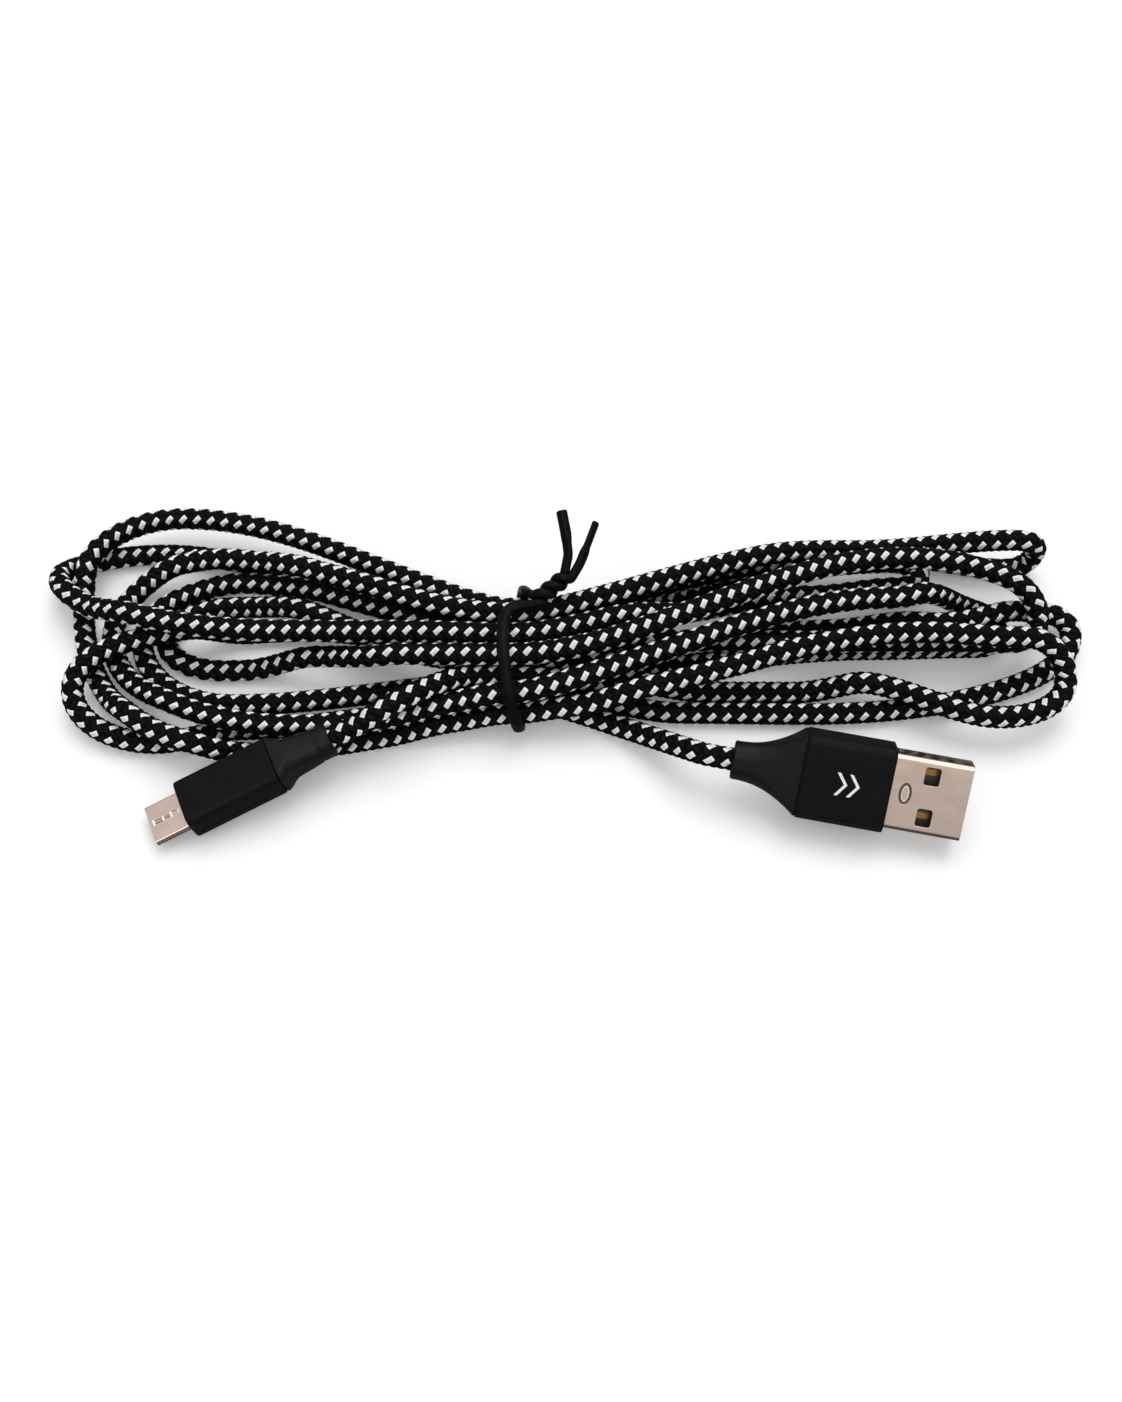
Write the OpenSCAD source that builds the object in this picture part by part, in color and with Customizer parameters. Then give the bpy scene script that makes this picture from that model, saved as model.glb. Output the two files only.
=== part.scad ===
// Braided USB-A to Micro-B charging cable, folded into a flat hank and tied at the waist.
// Millimetres, +Z up. The hank rests on z = 0 with the tie over the origin.

/* [Cord] */
// diameter over the braid
cord_d = 3.4; // [3:0.1:3.6]
// diameter of the bare jacket inside the plugs
jacket_d = 2.9; // [2.4:0.1:3]
// share of the diameter lost where the cord rests
rest_cut = 0.1; // [0.05:0.01:0.15]
// sides of the hank's tube
cord_sides = 6; // [6:1:8]
// rings along each straight and each end turn
leg_rings = 10; // [8:1:14]
turn_rings = 9; // [6:1:12]

/* [Hank] */
// reach of the longest fold to the right
reach_right = 92.8; // [88:0.2:94]
// reach of the longest fold to the left
reach_left = 76.8; // [76:0.2:77.6]

/* [Twist tie] */
// diameter over the tie's coating
tie_d = 1.5; // [1.3:0.1:1.5]
// diameter of the steel core
tie_core_d = 0.6; // [0.4:0.1:0.8]
// turns of the twist
tie_turns = 1.5; // [1:0.5:2]

/* [USB-A plug] */
// width and height of the shell over the metal
ua_w = 12; // [11.9:0.05:12.1]
ua_h = 4.5; // [4.45:0.05:4.55]
// shell showing in front of the housing
ua_out = 11.75; // [11.5:0.05:12.2]
// sheet thickness
ua_t = 0.3; // [0.25:0.05:0.35]
// housing width, thickness and length
uah_w = 13.4; // [13.2:0.1:14.5]
uah_h = 7.1; // [6.6:0.1:7.6]
uah_l = 13.7; // [12:0.1:16]
// bevel along the housing's long edges
uah_bevel = 1; // [0.4:0.1:1.4]
// length of the strain relief, and the width and height of its small end
uar_l = 10.5; // [9:0.1:12]
uar_w = 5.7; // [5.4:0.1:6]
uar_d = 4.8; // [4.6:0.1:5]
// tilt, dip and heading of the plug
ua_roll = 43; // [40:1:46]
ua_pitch = 1; // [0:0.5:2]
ua_yaw = -11; // [-13:1:-9]

/* [Micro-B plug] */
// width and height of the shell over the metal
mb_w = 6.85; // [6.8:0.01:6.9]
mb_h = 1.8; // [1.75:0.01:1.85]
// shell showing in front of the housing
mb_out = 5.8; // [5.4:0.1:6]
// sheet thickness
mb_t = 0.22; // [0.2:0.01:0.25]
// housing width, thickness and length
mbh_w = 8; // [7.8:0.1:8.6]
mbh_h = 5; // [4.8:0.1:5.6]
mbh_l = 15.6; // [14:0.1:17]
// length of the neck and collar together, and the collar's diameter and length
mbr_l = 9.4; // [8:0.1:10]
mbr_d = 5; // [4.6:0.1:5.2]
mbr_collar = 2.4; // [2:0.1:3]
// how far the latch hooks stand proud
latch_proud = 0.4; // [0.3:0.05:0.45]
// tilt, dip and heading of the plug
mb_roll = 5; // [3:1:7]
mb_pitch = 10; // [8:1:12]
mb_yaw = -155; // [-157:1:-153]

/* [Fits] */
// gap between pieces that sit in one another
fit = 0.03; // [0.02:0.01:0.06]
// gap round a latch that moves
run = 0.08; // [0.06:0.01:0.12]

/* [Hidden] */
$fn = 40;
r = cord_d/2;
gz = r - rest_cut*cord_d;

// ---- how the cord is stacked where the tie holds it: [y, z] of every strand's centre ----
T1 = [6.4, 10.2];
T2 = [2.45, 10.2];
T3 = [-1.4, 10.2];
T4 = [-7.2, 8.1];
M1 = [9.4, 6.9];
M2 = [4.5, 6.8];
M3 = [0.55, 6.8];
M4 = [-3.4, 6.8];
M5 = [-8.9, 4.3];
B1 = [6.6, 3.3];
B2 = [2.7, 3.3];
B3 = [-1.2, 3.3];
B4 = [-5.1, 3.3];

// ---- the folds, in the order the cord runs through them ----
// each fold: side, tip [x, y, z], leg out, leg back
// each leg: slot, hold (how long it stays on the slot's line), plan [x, y] to the shoulder of the
// turn, heights [x, z] it passes; gz is on the table, and a strand over another is a cord higher
rr = reach_right - 92.8;
rl = reach_left - 76.8;
folds = [
  [1, [89, -3.9, 6.4],
    [M4, 1.2, [[55, -3.6], [78, -10.2]], [[12, 5.3], [18, 5.3], [32, gz], [46, gz], [58, 5.3], [80, 5.3]]],
    [M5, 1.8, [[66, 3.2], [82, 2]], [[10, 5.8], [22, 8.2], [36, 8.4], [46, 9.2], [62, 9.4], [84, 9.9]]]],
  [-1, [72.6, 16.6, 3.4],
    [M5, 1.2, [[46, -15.1]], [[10, 3.1], [20, gz], [40, gz], [52, 5.4], [61, 5.4], [67, 1.8], [72, 1.7]]],
    [M1, 0.8, [[57, 28.9]], [[30, 5.6], [60, 5.4], [71.2, 5.4]]]],
  [1, [68.4, 17.8, 4.6],
    [M1, 1.2, [[50, 20], [64, 20.8]], [[12, 5.4], [40, 5.2], [54, 3.9], [64, 3.9]]],
    [T2, 1.2, [[50, 13], [64, 14.6]], [[16, 10.2], [32, 5.4], [64, 5.4]]]],
  [-1, [76.8 + rl, 18.4, 3.6],
    [T2, 1.2, [[36, 3.4]], [[12, 10.3], [30, 9.6], [62, 9.5], [72, 6.3]]],
    [B1, 1.2, [[60, 24]], [[14, 2.2], [24, gz], [70.6, gz]]]],
  [1, [88.4, 22.2, 5.3],
    [B1, 1.2, [[60, 24.4], [84, 21]], [[14, gz], [84, gz]]],
    [T1, 0.9, [[58, 20.4], [84, 21.6]], [[40, 9.6], [58, 7.9], [84, 9.2]]]],
  [-1, [66.8, 8, 1.7],
    [T1, 1.6, [[52, 20.2]], [[14, 9.9], [22, 9.8], [34, 8.6], [46, 6.3], [56, 5], [66, 2]]],
    [T4, 1.2, [[34, -11.8]], [[10, 6.7], [21, 5.3], [54, 5.3], [66.2, 1.7]]]],
  [1, [81, 8.6, gz],
    [T4, 1.1, [[62, 9.9], [75, 13]], [[14, 9.4], [66, 9.4], [78, gz]]],
    [M3, 2.8, [[60, 4.8], [77.5, 5.2]], [[12, 4.8], [30, gz]]]],
  [-1, [57.8, 6.6, gz],
    [M3, 2.8, [[46.4, 13.1]], [[10, 6], [20, 5.5], [34, 5.3], [46, gz]]],
    [T3, 1.2, [[20, -1], [32, 1.2], [48, 0.6]], [[18, 9.6], [32, 5.3], [44, gz]]]],
  [1, [86.2, 7, 6.8],
    [T3, 1.6, [[64, 16.6]], [[30, 11.2], [70, 11.2], [81, 10.6]]],
    [M2, 1.2, [[60, 3.9], [82, 3.8]], [[12, 5.6], [30, 5.4], [81, 5.4]]]],
  [-1, [61.8, 7.2, gz],
    [M2, 1.4, [[47.4, 17.1]], [[16, 6], [30, 4.9], [44, 3.2], [56, gz]]],
    [B3, 1.2, [[45.6, -5.9]], [[14, gz]]]],
  [1, [92.8 + rr, 7.4, 2.4],
    [B3, 1, [[28, -7.4], [48, -7.6]], [[9, gz], [88, gz]]],
    [B2, 0.6, [[60, 8.8], [71, 7.8], [88, 10.8]], [[14, gz], [54, gz], [68, 5], [81, 5.4], [88, 3.6]]]],
  [-1, [71, -4.4, 4.6],
    [B2, 1.2, [[34, 8.3]], [[14, gz], [44, gz], [54, 5.4], [67, 6.2]]],
    [B4, 1.2, [[44, -10.4], [57, -12.9]], [[14, gz], [57, gz]]]]];

// ---- formulas of the hank ----
function ease(w) = w*w*(3 - 2*w);
function soft(u) = (sqrt(u*u + 0.0064) - 0.08)/(sqrt(1.0064) - 0.08);
function sweep_out(u, k) = let(v = soft(u)) 1 - (1 - v)*(1 - v)*(1 + k*v);
function span(s, x, i = 0) = i >= len(s) - 2 || x < s[i + 1][0] ? i : span(s, x, i + 1);
function part_of(s, x, i) = min(1, max(0, (x - s[i][0])/(s[i + 1][0] - s[i][0])));
function mix(s, i, e) = s[i][1] + (s[i + 1][1] - s[i][1])*e;
function eased(s, x) = let(i = span(s, x)) mix(s, i, ease(part_of(s, x, i)));
function rounded(s, x) = let(i = span(s, x), w = part_of(s, x, i))
  mix(s, i, i == len(s) - 2 ? 1 - sqrt(max(0, 1 - w*w)) : ease(w));
function leg_y(leg, x) = let(p = leg[2], y0 = leg[0][0])
  x > p[0][0] && len(p) > 1 ? eased(p, x)
    : y0 + (p[0][1] - y0)*sweep_out(min(1, x/p[0][0]), leg[1]);
// q runs 0..1 along the leg and 1..2 round the turn
function leg_point(tip, leg, q) =
  let(s = leg[2][len(leg[2]) - 1],
      a = max(0, q - 1)*90,
      x = q < 1 ? s[0]*q : s[0] + (tip[0] - s[0])*sin(a),
      y = q < 1 ? leg_y(leg, x) : tip[1] + (s[1] - tip[1])*cos(a),
      z = rounded(concat([[0, leg[0][1]]], leg[3], [[tip[0], tip[2]]]), x))
  [x, y, z];
function steps(n, m) = concat([for (i = [0:n - 1]) i/n], [for (i = [0:m - 1]) 1 + i/m]);
function mirrored(p, s) = [p[0]*s, p[1], p[2]];
function back(l) = [for (i = [len(l) - 1:-1:0]) l[i]];
function fold_points(f, n, m) = concat(
  [for (q = steps(n, m)) mirrored(leg_point(f[1], f[2], q), f[0])],
  [mirrored(f[1], f[0])],
  [for (q = back(steps(n, m))) if (q > 0) mirrored(leg_point(f[1], f[3], q), f[0])]);
function hank_points(n, m) = concat(
  [for (f = folds) each fold_points(f, n, m)],
  [let(l = folds[len(folds) - 1][3][0]) [0, l[0], l[1]]]);

// ---- tubes ----
function unit(v) = v/norm(v);
function dir(p, i) = unit(p[min(i + 1, len(p) - 1)] - p[max(i - 1, 0)]);
function side(t) = unit(cross([0, 0, 1], t));
// flats of a resting tube face down; nothing goes below the table
function ring(c, t, s, rad, n, floor_z) = let(u = cross(t, s), o = -90 + 180/n)
  [for (k = [0:n - 1]) let(q = c + rad*(cos(o + 360*k/n)*s + sin(o + 360*k/n)*u))
    [q[0], q[1], max(q[2], floor_z)]];
// carried: the flats are carried along without twist, for a wire that turns every way
// bore: radius of a hole that runs right through it
module tube(p, rad, n, floor_z = 0, t0 = undef, t1 = undef, carried = false, bore = 0) {
  m = len(p);
  h = m*n;
  dirs = [for (i = [0:m - 1]) i == 0 && t0 != undef ? t0 : i == m - 1 && t1 != undef ? t1 : dir(p, i)];
  sides = carried ? [for (i = 0, s = side(dirs[0]); i < m; i = i + 1,
      s = i < m ? unit(s - (s*dirs[i])*dirs[i]) : s) s]
    : [for (d = dirs) side(d)];
  outside = [for (i = [0:m - 1]) each ring(p[i], dirs[i], sides[i], rad, n, floor_z)];
  inside = bore > 0 ? [for (i = [0:m - 1]) each ring(p[i], dirs[i], sides[i], bore, n, floor_z)] : [];
  skin = [for (i = [0:m - 2], k = [0:n - 1]) let(a = i*n + k, b = i*n + (k + 1)%n)
    each [[a, a + n, b], [b, a + n, b + n]]];
  lining = bore > 0 ? [for (t = skin) [t[0] + h, t[2] + h, t[1] + h]] : [];
  caps = bore > 0
    ? [for (k = [0:n - 1]) let(j = (k + 1)%n, e = (m - 1)*n)
        each [[j, k + h, k], [j, j + h, k + h], [e + k, e + k + h, e + j], [e + j, e + k + h, e + j + h]]]
    : [for (k = [1:n - 2]) each [[0, k, k + 1], [(m - 1)*n, (m - 1)*n + k + 1, (m - 1)*n + k]]];
  polyhedron(concat(outside, inside), concat(skin, lining, caps), convexity = 10);
}
// a smooth line through hand-picked points that leaves and arrives straight
function hermite(a, b, ta, tb, w) = let(w2 = w*w, w3 = w2*w)
  a*(2*w3 - 3*w2 + 1) + ta*(w3 - 2*w2 + w) + b*(3*w2 - 2*w3) + tb*(w3 - w2);
function through(g, d0, d1, n) = let(m = len(g) - 1,
    t = [for (i = [0:m]) i == 0 ? d0*norm(g[1] - g[0]) : i == m ? d1*norm(g[m] - g[m - 1])
      : (g[i + 1] - g[i - 1])/2])
  concat([for (i = [0:m - 1], j = [0:n - 1]) hermite(g[i], g[i + 1], t[i], t[i + 1], j/n)], [g[m]]);

hank_line = hank_points(leg_rings, turn_rings);
fine_line = hank_points(22, 16);
function total(p, i = 0, s = 0) = i >= len(p) - 1 ? s : total(p, i + 1, s + norm(p[i + 1] - p[i]));
run_of = [for (i = 0, a = 0; i < len(fine_line);
  a = a + (i + 1 < len(fine_line) ? norm(fine_line[i + 1] - fine_line[i]) : 0), i = i + 1) a];
// strands are compared where they are more than four diameters apart along the cord
least_gap = min([for (i = [0:len(fine_line) - 2]) min([for (j = [i + 1:len(fine_line) - 1])
  run_of[j] - run_of[i] > 4*cord_d ? norm(fine_line[i] - fine_line[j]) : 99])]) - cord_d;

// ---- where the plugs lie: middle of each housing's front face ----
ua_at = [58.3, -23.6, 7.2];
mb_at = [-50.4, -25.5, 2.8];
function turned(v, roll, pitch, yaw) = let(
    a = [v[0], v[1]*cos(roll) - v[2]*sin(roll), v[1]*sin(roll) + v[2]*cos(roll)],
    b = [a[0]*cos(pitch) + a[2]*sin(pitch), a[1], -a[0]*sin(pitch) + a[2]*cos(pitch)])
  [b[0]*cos(yaw) - b[1]*sin(yaw), b[0]*sin(yaw) + b[1]*cos(yaw), b[2]];
ua_dir = turned([1, 0, 0], ua_roll, ua_pitch, ua_yaw);
mb_dir = turned([1, 0, 0], mb_roll, mb_pitch, mb_yaw);
ua_end = ua_at - (uah_l + uar_l)*ua_dir;
mb_end = mb_at - (mbh_l + mbr_l)*mb_dir;
ua_line = concat([[0, B4[0], B4[1]]],
  through([[cord_d, B4[0], B4[1]], [8, -6.6, 1.9], [12.6, -8.1, 1.5], [17.4, -10, 1.6], [22, -12.6, 3.4],
    [26.8, -15.9, 6], ua_end - cord_d*ua_dir], [1, 0, 0], ua_dir, 3), [ua_end]);
mb_line = concat([[0, M4[0], M4[1]]],
  through([[-cord_d, M4[0], M4[1]], [-7.5, -3.9, 7.3], [-11.5, -6.2, 9.1], [-16, -9.2, 10.2],
    [-20.5, -11.8, 9.9], mb_end - cord_d*mb_dir], [-1, 0, 0], mb_dir, 3), [mb_end]);
cord_length = total(fine_line) + total(ua_line) + total(mb_line);
echo(hank_length = total(fine_line), cord_length = cord_length, least_gap = least_gap);

module on_usb_a() { translate(ua_at) rotate([0, 0, ua_yaw]) rotate([0, ua_pitch, 0]) rotate([ua_roll, 0, 0]) children(); }
module on_micro() { translate(mb_at) rotate([0, 0, mb_yaw]) rotate([0, mb_pitch, 0]) rotate([mb_roll, 0, 0]) children(); }

module hank() { color("dimgray") tube(hank_line, r, cord_sides, 0, [1, 0, 0], [1, 0, 0]); }
module usb_a_lead() { color("gray") tube(ua_line, r, 8, 0, [1, 0, 0], ua_dir); }
module micro_lead() { color("gray") tube(mb_line, r, 8, 0, [-1, 0, 0], mb_dir); }

// ---- the tie ----
tie_r = tie_d/2;
// round the waist, up to the foot of the twist: [x, y, z]
tie_loop = [[2.8, 6, 13], [0.9, 6.2, 12.8], [-0.7, 5, 12.8], [-1.3, 2.2, 12.75], [-1.3, -1.4, 12.7],
  [-0.8, -5.2, 12.1], [-0.2, -8.7, 10.15], [0.6, -11, 6.8], [1.1, -11.4, 4.4], [1.2, -10.6, 2.4],
  [1.1, -8.4, 1.3], [0.8, -5.1, 0.8], [0.4, 0.7, 0.8], [0.4, 6.4, 0.8], [0.8, 8.9, 1.7], [1.2, 11.2, 4.4],
  [1.6, 12, 7], [1.9, 11.3, 9.6], [2.2, 9.9, 11.6], [2.7, 8.5, 12.8]];
twist_a = [4.2, 6.8, 13.7];
twist_b = [9, 10.4, 14.9];
twist_dir = unit(twist_b - twist_a);
twist_side = side(twist_dir);
twist_up = cross(twist_dir, twist_side);
twist_r = tie_r + 0.04;
function twist_point(w, ph) = twist_a + (twist_b - twist_a)*w
  + twist_r*(cos(ph + 360*tie_turns*w)*twist_side + sin(ph + 360*tie_turns*w)*twist_up);
twist_steps = 14;
function twist(ph) = [for (i = [0:twist_steps]) twist_point(i/twist_steps, ph)];
// the two tails, from the end of the twist outwards
tail_one = [[9.1, 13.4, 16.6], [8.7, 16.4, 18.3], [8, 19.6, 20]];
tail_two = [[11, 12.6, 15.3], [12.4, 15.8, 16.8], [13.6, 18.8, 18]];
tie_line = concat(back(tail_one), back(twist(180)),
  through(tie_loop, unit([-1, 0, -0.1]), unit([0.6, -0.6, 0.5]), 2), twist(0), tail_two);
module twist_tie() {
  color("black") tube(tie_line, tie_r, 8, -1, carried = true, bore = tie_core_d/2 + fit);
}
module tie_wire() { color("silver") tube(tie_line, tie_core_d/2, 8, -1, carried = true); }

// ---- shapes shared by the plugs; each is drawn along +X from x0 to x1 ----
module along(x0, x1) { translate([x0, 0, 0]) rotate([90, 0, 90]) linear_extrude(x1 - x0) children(); }
// a rectangle with true round corners
module soft_rect(w, h, c) {
  square([w - 2*c, h], center = true);
  square([w, h - 2*c], center = true);
  for (a = [-1, 1], b = [-1, 1]) translate([a*(w/2 - c), b*(h/2 - c)]) circle(c);
}
module block(x0, x1, w, h, c = 0.2) { along(x0, x1) soft_rect(w, h, c); }
module box(x0, x1, y, w, z0, z1) { translate([x0, y - w/2, z0]) cube([x1 - x0, w, z1 - z0]); }
module rod(x0, x1, d, y = 0, z = 0) { translate([x0, y, z]) rotate([0, 90, 0]) cylinder(d = d, h = x1 - x0); }
// a core that leaves a straight and arrives at e straight
module core(a, b, c, e, d) {
  tube(concat([a], through([b, c], [-1, 0, 0], [-1, 0, 0], 5), [e]), d/2, 6, -99, carried = true);
}
// a sleeve whose section goes from a soft rectangle to a circle: rows are [x, width, height, roundness]
function loft_ring(s, n) = [for (k = [0:n - 1]) let(a = 360*k/n, e = 2/s[3],
    c = cos(a), d = sin(a)) [s[0], sign(c)*pow(abs(c), e)*s[1]/2, sign(d)*pow(abs(d), e)*s[2]/2]];
module loft(rows, n = 32) {
  m = len(rows);
  skin = [for (i = [0:m - 2], k = [0:n - 1]) let(a = i*n + k, b = i*n + (k + 1)%n)
    each [[a, b, a + n], [b, b + n, a + n]]];
  caps = [[for (k = [n - 1:-1:0]) k], [for (k = [0:n - 1]) (m - 1)*n + k]];
  polyhedron([for (s = rows) each loft_ring(s, n)], concat(skin, caps), convexity = 6);
}

// ---- USB-A plug: +X to the mouth, x = 0 at the housing's front face ----
ua_back = -6.5;
ua_in_w = ua_w - 2*ua_t;
ua_in_h = ua_h - 2*ua_t;
win_x = 5.8;
win_y = 3.3;
win_l = 2.3;
win_w = 2.8;
pin_y = [-3.5, -1, 1, 3.5];
pin_w = 1;
module usb_a_shell() {
  color("tan") on_usb_a() difference() {
    union() {
      difference() {
        block(ua_back, ua_out, ua_w, ua_h, 0.7);
        block(ua_back - 1, ua_out + 1, ua_in_w, ua_in_h, 0.4);
        for (s = [-1, 1]) box(win_x - win_l/2, win_x + win_l/2, s*win_y, win_w, -ua_h, ua_h);
      }
      // spring fingers bent into the windows
      for (s = [-1, 1]) translate([win_x - win_l/2 - 0.2, s*win_y, ua_h/2 - ua_t]) rotate([0, 14, 0])
        translate([0, -win_w/2 + 0.35, 0]) cube([win_l, win_w - 0.7, 0.22]);
    }
    // clinch where the folded edges meet
    translate([2.3, 0, ua_h/2 + 0.7]) scale([0.85, 1.7, 0.82]) sphere(1);
  }
}
tongue_top = 0.05;
module usb_a_tongue() {
  color("white") on_usb_a() difference() {
    box(0.4, ua_out - 0.4, 0, ua_in_w - 2*fit - 0.6, -ua_in_h/2 + fit, tongue_top);
    for (y = pin_y) box(-1, ua_out - 1 - (abs(y) < 2 ? 1 : 0), y, pin_w + 2*fit, tongue_top - 0.25, tongue_top + 1);
  }
}
module usb_a_contacts() {
  color("gold") on_usb_a() for (y = pin_y)
    box(0.45, ua_out - 1.05 - (abs(y) < 2 ? 1 : 0), y, pin_w, tongue_top - 0.22, tongue_top - 0.02);
}
module usb_a_inner_mould() {
  color("ivory") on_usb_a() difference() {
    block(ua_back + 0.2, 0.37, ua_in_w - 2*fit, ua_in_h - 2*fit, 0.35);
    for (y = pin_y) rod(ua_back - 1, 2, 0.8, y, tongue_top - 0.12);
  }
}
// wires come out of the cord and spread to the contacts
function ua_core_end(i) = [-uah_l + 2.4, (i - 1.5)*0.62, 0];
module usb_a_wires() {
  color("firebrick") on_usb_a() for (i = [0:3])
    core([0.34, pin_y[i], tongue_top - 0.12], [ua_back - 0.6, pin_y[i], tongue_top - 0.12],
      ua_core_end(i) + [1.6, 0, 0], ua_core_end(i), 0.55);
}
clamp_h = jacket_d + 2*fit;
clamp_w = 8.8;
clamp_t = 0.3;
module usb_a_clamp() {
  color("silver") on_usb_a() difference() {
    block(-uah_l + 0.4, ua_back - 1.4, clamp_w + 2*clamp_t, clamp_h + 2*clamp_t, 0.6);
    block(-uah_l - 1, ua_back, clamp_w, clamp_h, 0.4);
  }
}
module usb_a_cable_end() {
  color("black") on_usb_a() rod(-uah_l - uar_l + 0.02, -uah_l + 2.36, jacket_d);
}
module bevelled(w, h, c) {
  polygon([for (q = [[1, 1], [-1, 1], [-1, -1], [1, -1]]) each let(a = [q[0]*w/2, q[1]*(h/2 - c)],
    b = [q[0]*(w/2 - c), q[1]*h/2]) q[0]*q[1] > 0 ? [a, b] : [b, a]]);
}
module usb_a_housing() {
  color([0.1, 0.1, 0.1]) on_usb_a() difference() {
    along(-uah_l, 0) bevelled(uah_w, uah_h, uah_bevel);
    block(ua_back - 0.1, 1, ua_w + 2*fit, ua_h + 2*fit, 0.73);
    block(-uah_l + 0.3, ua_back, clamp_w + 2*clamp_t + 0.2, clamp_h + 2*clamp_t + 0.2, 0.7);
    rod(-uah_l - 1, -uah_l + 1, jacket_d + 2*fit);
    // the step the strain relief butts against
    difference() {
      along(-uah_l - 1, -uah_l + 0.3) bevelled(uah_w + 1, uah_h + 1, 0.5);
      along(-uah_l - 2, -uah_l + 1) bevelled(uah_w - 0.3, uah_h - 0.3, uah_bevel);
    }
  }
}
module usb_a_strain_relief() {
  x0 = -uah_l - fit;
  color([0.08, 0.08, 0.08]) on_usb_a() difference() {
    loft([for (w = [0:0.125:1]) let(g = pow(1 - w, 2.2))
      [x0 - uar_l*w + fit, uar_w + (uah_w - 0.3 - uar_w)*g, uar_d + (uah_h - 0.3 - uar_d)*g, 2 + 3*g]]);
    rod(x0 - uar_l - 1, x0 + 1, jacket_d + 2*fit);
  }
}

// ---- Micro-B plug: +X to the mouth, x = 0 at the housing's front face, latches on -Z ----
mb_back = -5;
mb_in_w = mb_w - 2*mb_t;
mb_in_h = mb_h - 2*mb_t;
// the shell's section narrows towards the latch side
module mb_section(w, h, c) {
  translate([0, 0]) polygon([[-w/2, h/2], [-w/2, -h/2 + c], [-w/2 + c*1.1, -h/2], [w/2 - c*1.1, -h/2],
    [w/2, -h/2 + c], [w/2, h/2]]);
}
latch_y = 2.05;
latch_w = 0.62;
latch_t = 0.2;
latch_x = 3.1;
latch_pivot = -4;
hook_l = 0.9;
latch_z = -mb_in_h/2 + 0.14;
module micro_shell() {
  color("rosybrown") on_micro() difference() {
    along(mb_back, mb_out) mb_section(mb_w, mb_h, 0.62);
    along(mb_back - 1, mb_out + 1) mb_section(mb_in_w, mb_in_h, 0.5);
    // windows the latch hooks come through
    for (s = [-1, 1]) box(latch_x - 0.2, latch_x + hook_l + 0.25, s*latch_y, latch_w + 2*run, -mb_h, -mb_in_h/2 + 0.2);
    // seam with its dovetail lock
    box(-1, mb_out + 1, 0, 0.06, mb_h/2 - 0.1, mb_h);
    for (x = [1.6, 3]) {
      box(x, x + 0.06, -0.35, 0.7, mb_h/2 - 0.1, mb_h);
      box(x + 0.5, x + 0.56, 0.35, 0.7, mb_h/2 - 0.1, mb_h);
    }
  }
}
mc_y = [-1.3, -0.65, 0, 0.65, 1.3];
module micro_insulator() {
  color("black") on_micro() difference() {
    union() {
      box(-0.6, mb_out - 0.5, 0, 3.2, mb_in_h/2 - 0.56, mb_in_h/2 - fit);
      box(mb_back + 0.3, -0.6, 0, 3.2, -mb_in_h/2 + 0.1, mb_in_h/2 - fit);
    }
    for (y = mc_y) box(mb_back - 1, mb_out - 0.9, y, 0.35 + 2*fit, mb_in_h/2 - 1, mb_in_h/2 - 0.56 + 0.17);
    for (y = mc_y) box(mb_back - 1, -0.5, y, 0.35 + 2*fit, -mb_in_h, mb_in_h/2 - 0.39);
  }
}
module micro_contacts() {
  color("gold") on_micro() for (y = mc_y)
    box(mb_back + 0.35, mb_out - 0.95, y, 0.35, mb_in_h/2 - 0.54, mb_in_h/2 - 0.41);
}
// a sprung arm with a hook; s picks the side
module micro_latch(s) {
  difference() {
    union() {
      box(latch_pivot - 0.6, latch_x + hook_l, s*latch_y, latch_w, latch_z, latch_z + latch_t);
      translate([0, s*latch_y + latch_w/2, 0]) rotate([90, 0, 0]) linear_extrude(latch_w)
        polygon([[latch_x, latch_z + 0.05], [latch_x, -mb_h/2 - latch_proud], [latch_x + 0.3, -mb_h/2 - latch_proud],
          [latch_x + hook_l, latch_z - 0.05], [latch_x + hook_l, latch_z + 0.05]]);
      translate([latch_pivot, s*latch_y + latch_w/2, latch_z + latch_t/2]) rotate([90, 0, 0]) cylinder(d = 0.32, h = latch_w);
    }
  }
}
module micro_latch_left() { color("gainsboro") on_micro() micro_latch(1); }
module micro_latch_right() { color("gainsboro") on_micro() micro_latch(-1); }
module micro_inner_mould() {
  color("ivory") on_micro() difference() {
    block(mb_back - 3.2, mb_back - fit, mb_w, 3, 0.3);
    for (y = mc_y) rod(mb_back - 4, mb_back + 1, 0.42, y, mb_in_h/2 - 0.475);
  }
}
function mb_core_end(i) = [-mbh_l + 2.6, (i - 2)*0.48, 0];
module micro_wires() {
  color("firebrick") on_micro() for (i = [0:4])
    core([mb_back + 0.32, mc_y[i], mb_in_h/2 - 0.475], [mb_back - 3.5, mc_y[i], mb_in_h/2 - 0.475],
      mb_core_end(i) + [1.2, 0, 0], mb_core_end(i), 0.34);
}
mclamp_w = 5.3;
mclamp_t = 0.2;
module micro_clamp() {
  color("silver") on_micro() difference() {
    block(-mbh_l + 0.5, mb_back - 3.3, mclamp_w + 2*mclamp_t, clamp_h + 2*mclamp_t, 0.6);
    block(-mbh_l - 1, mb_back, mclamp_w, clamp_h, 0.5);
  }
}
module micro_cable_end() {
  color("black") on_micro() rod(-mbh_l - mbr_l + 0.02, -mbh_l + 2.56, jacket_d);
}
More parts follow.
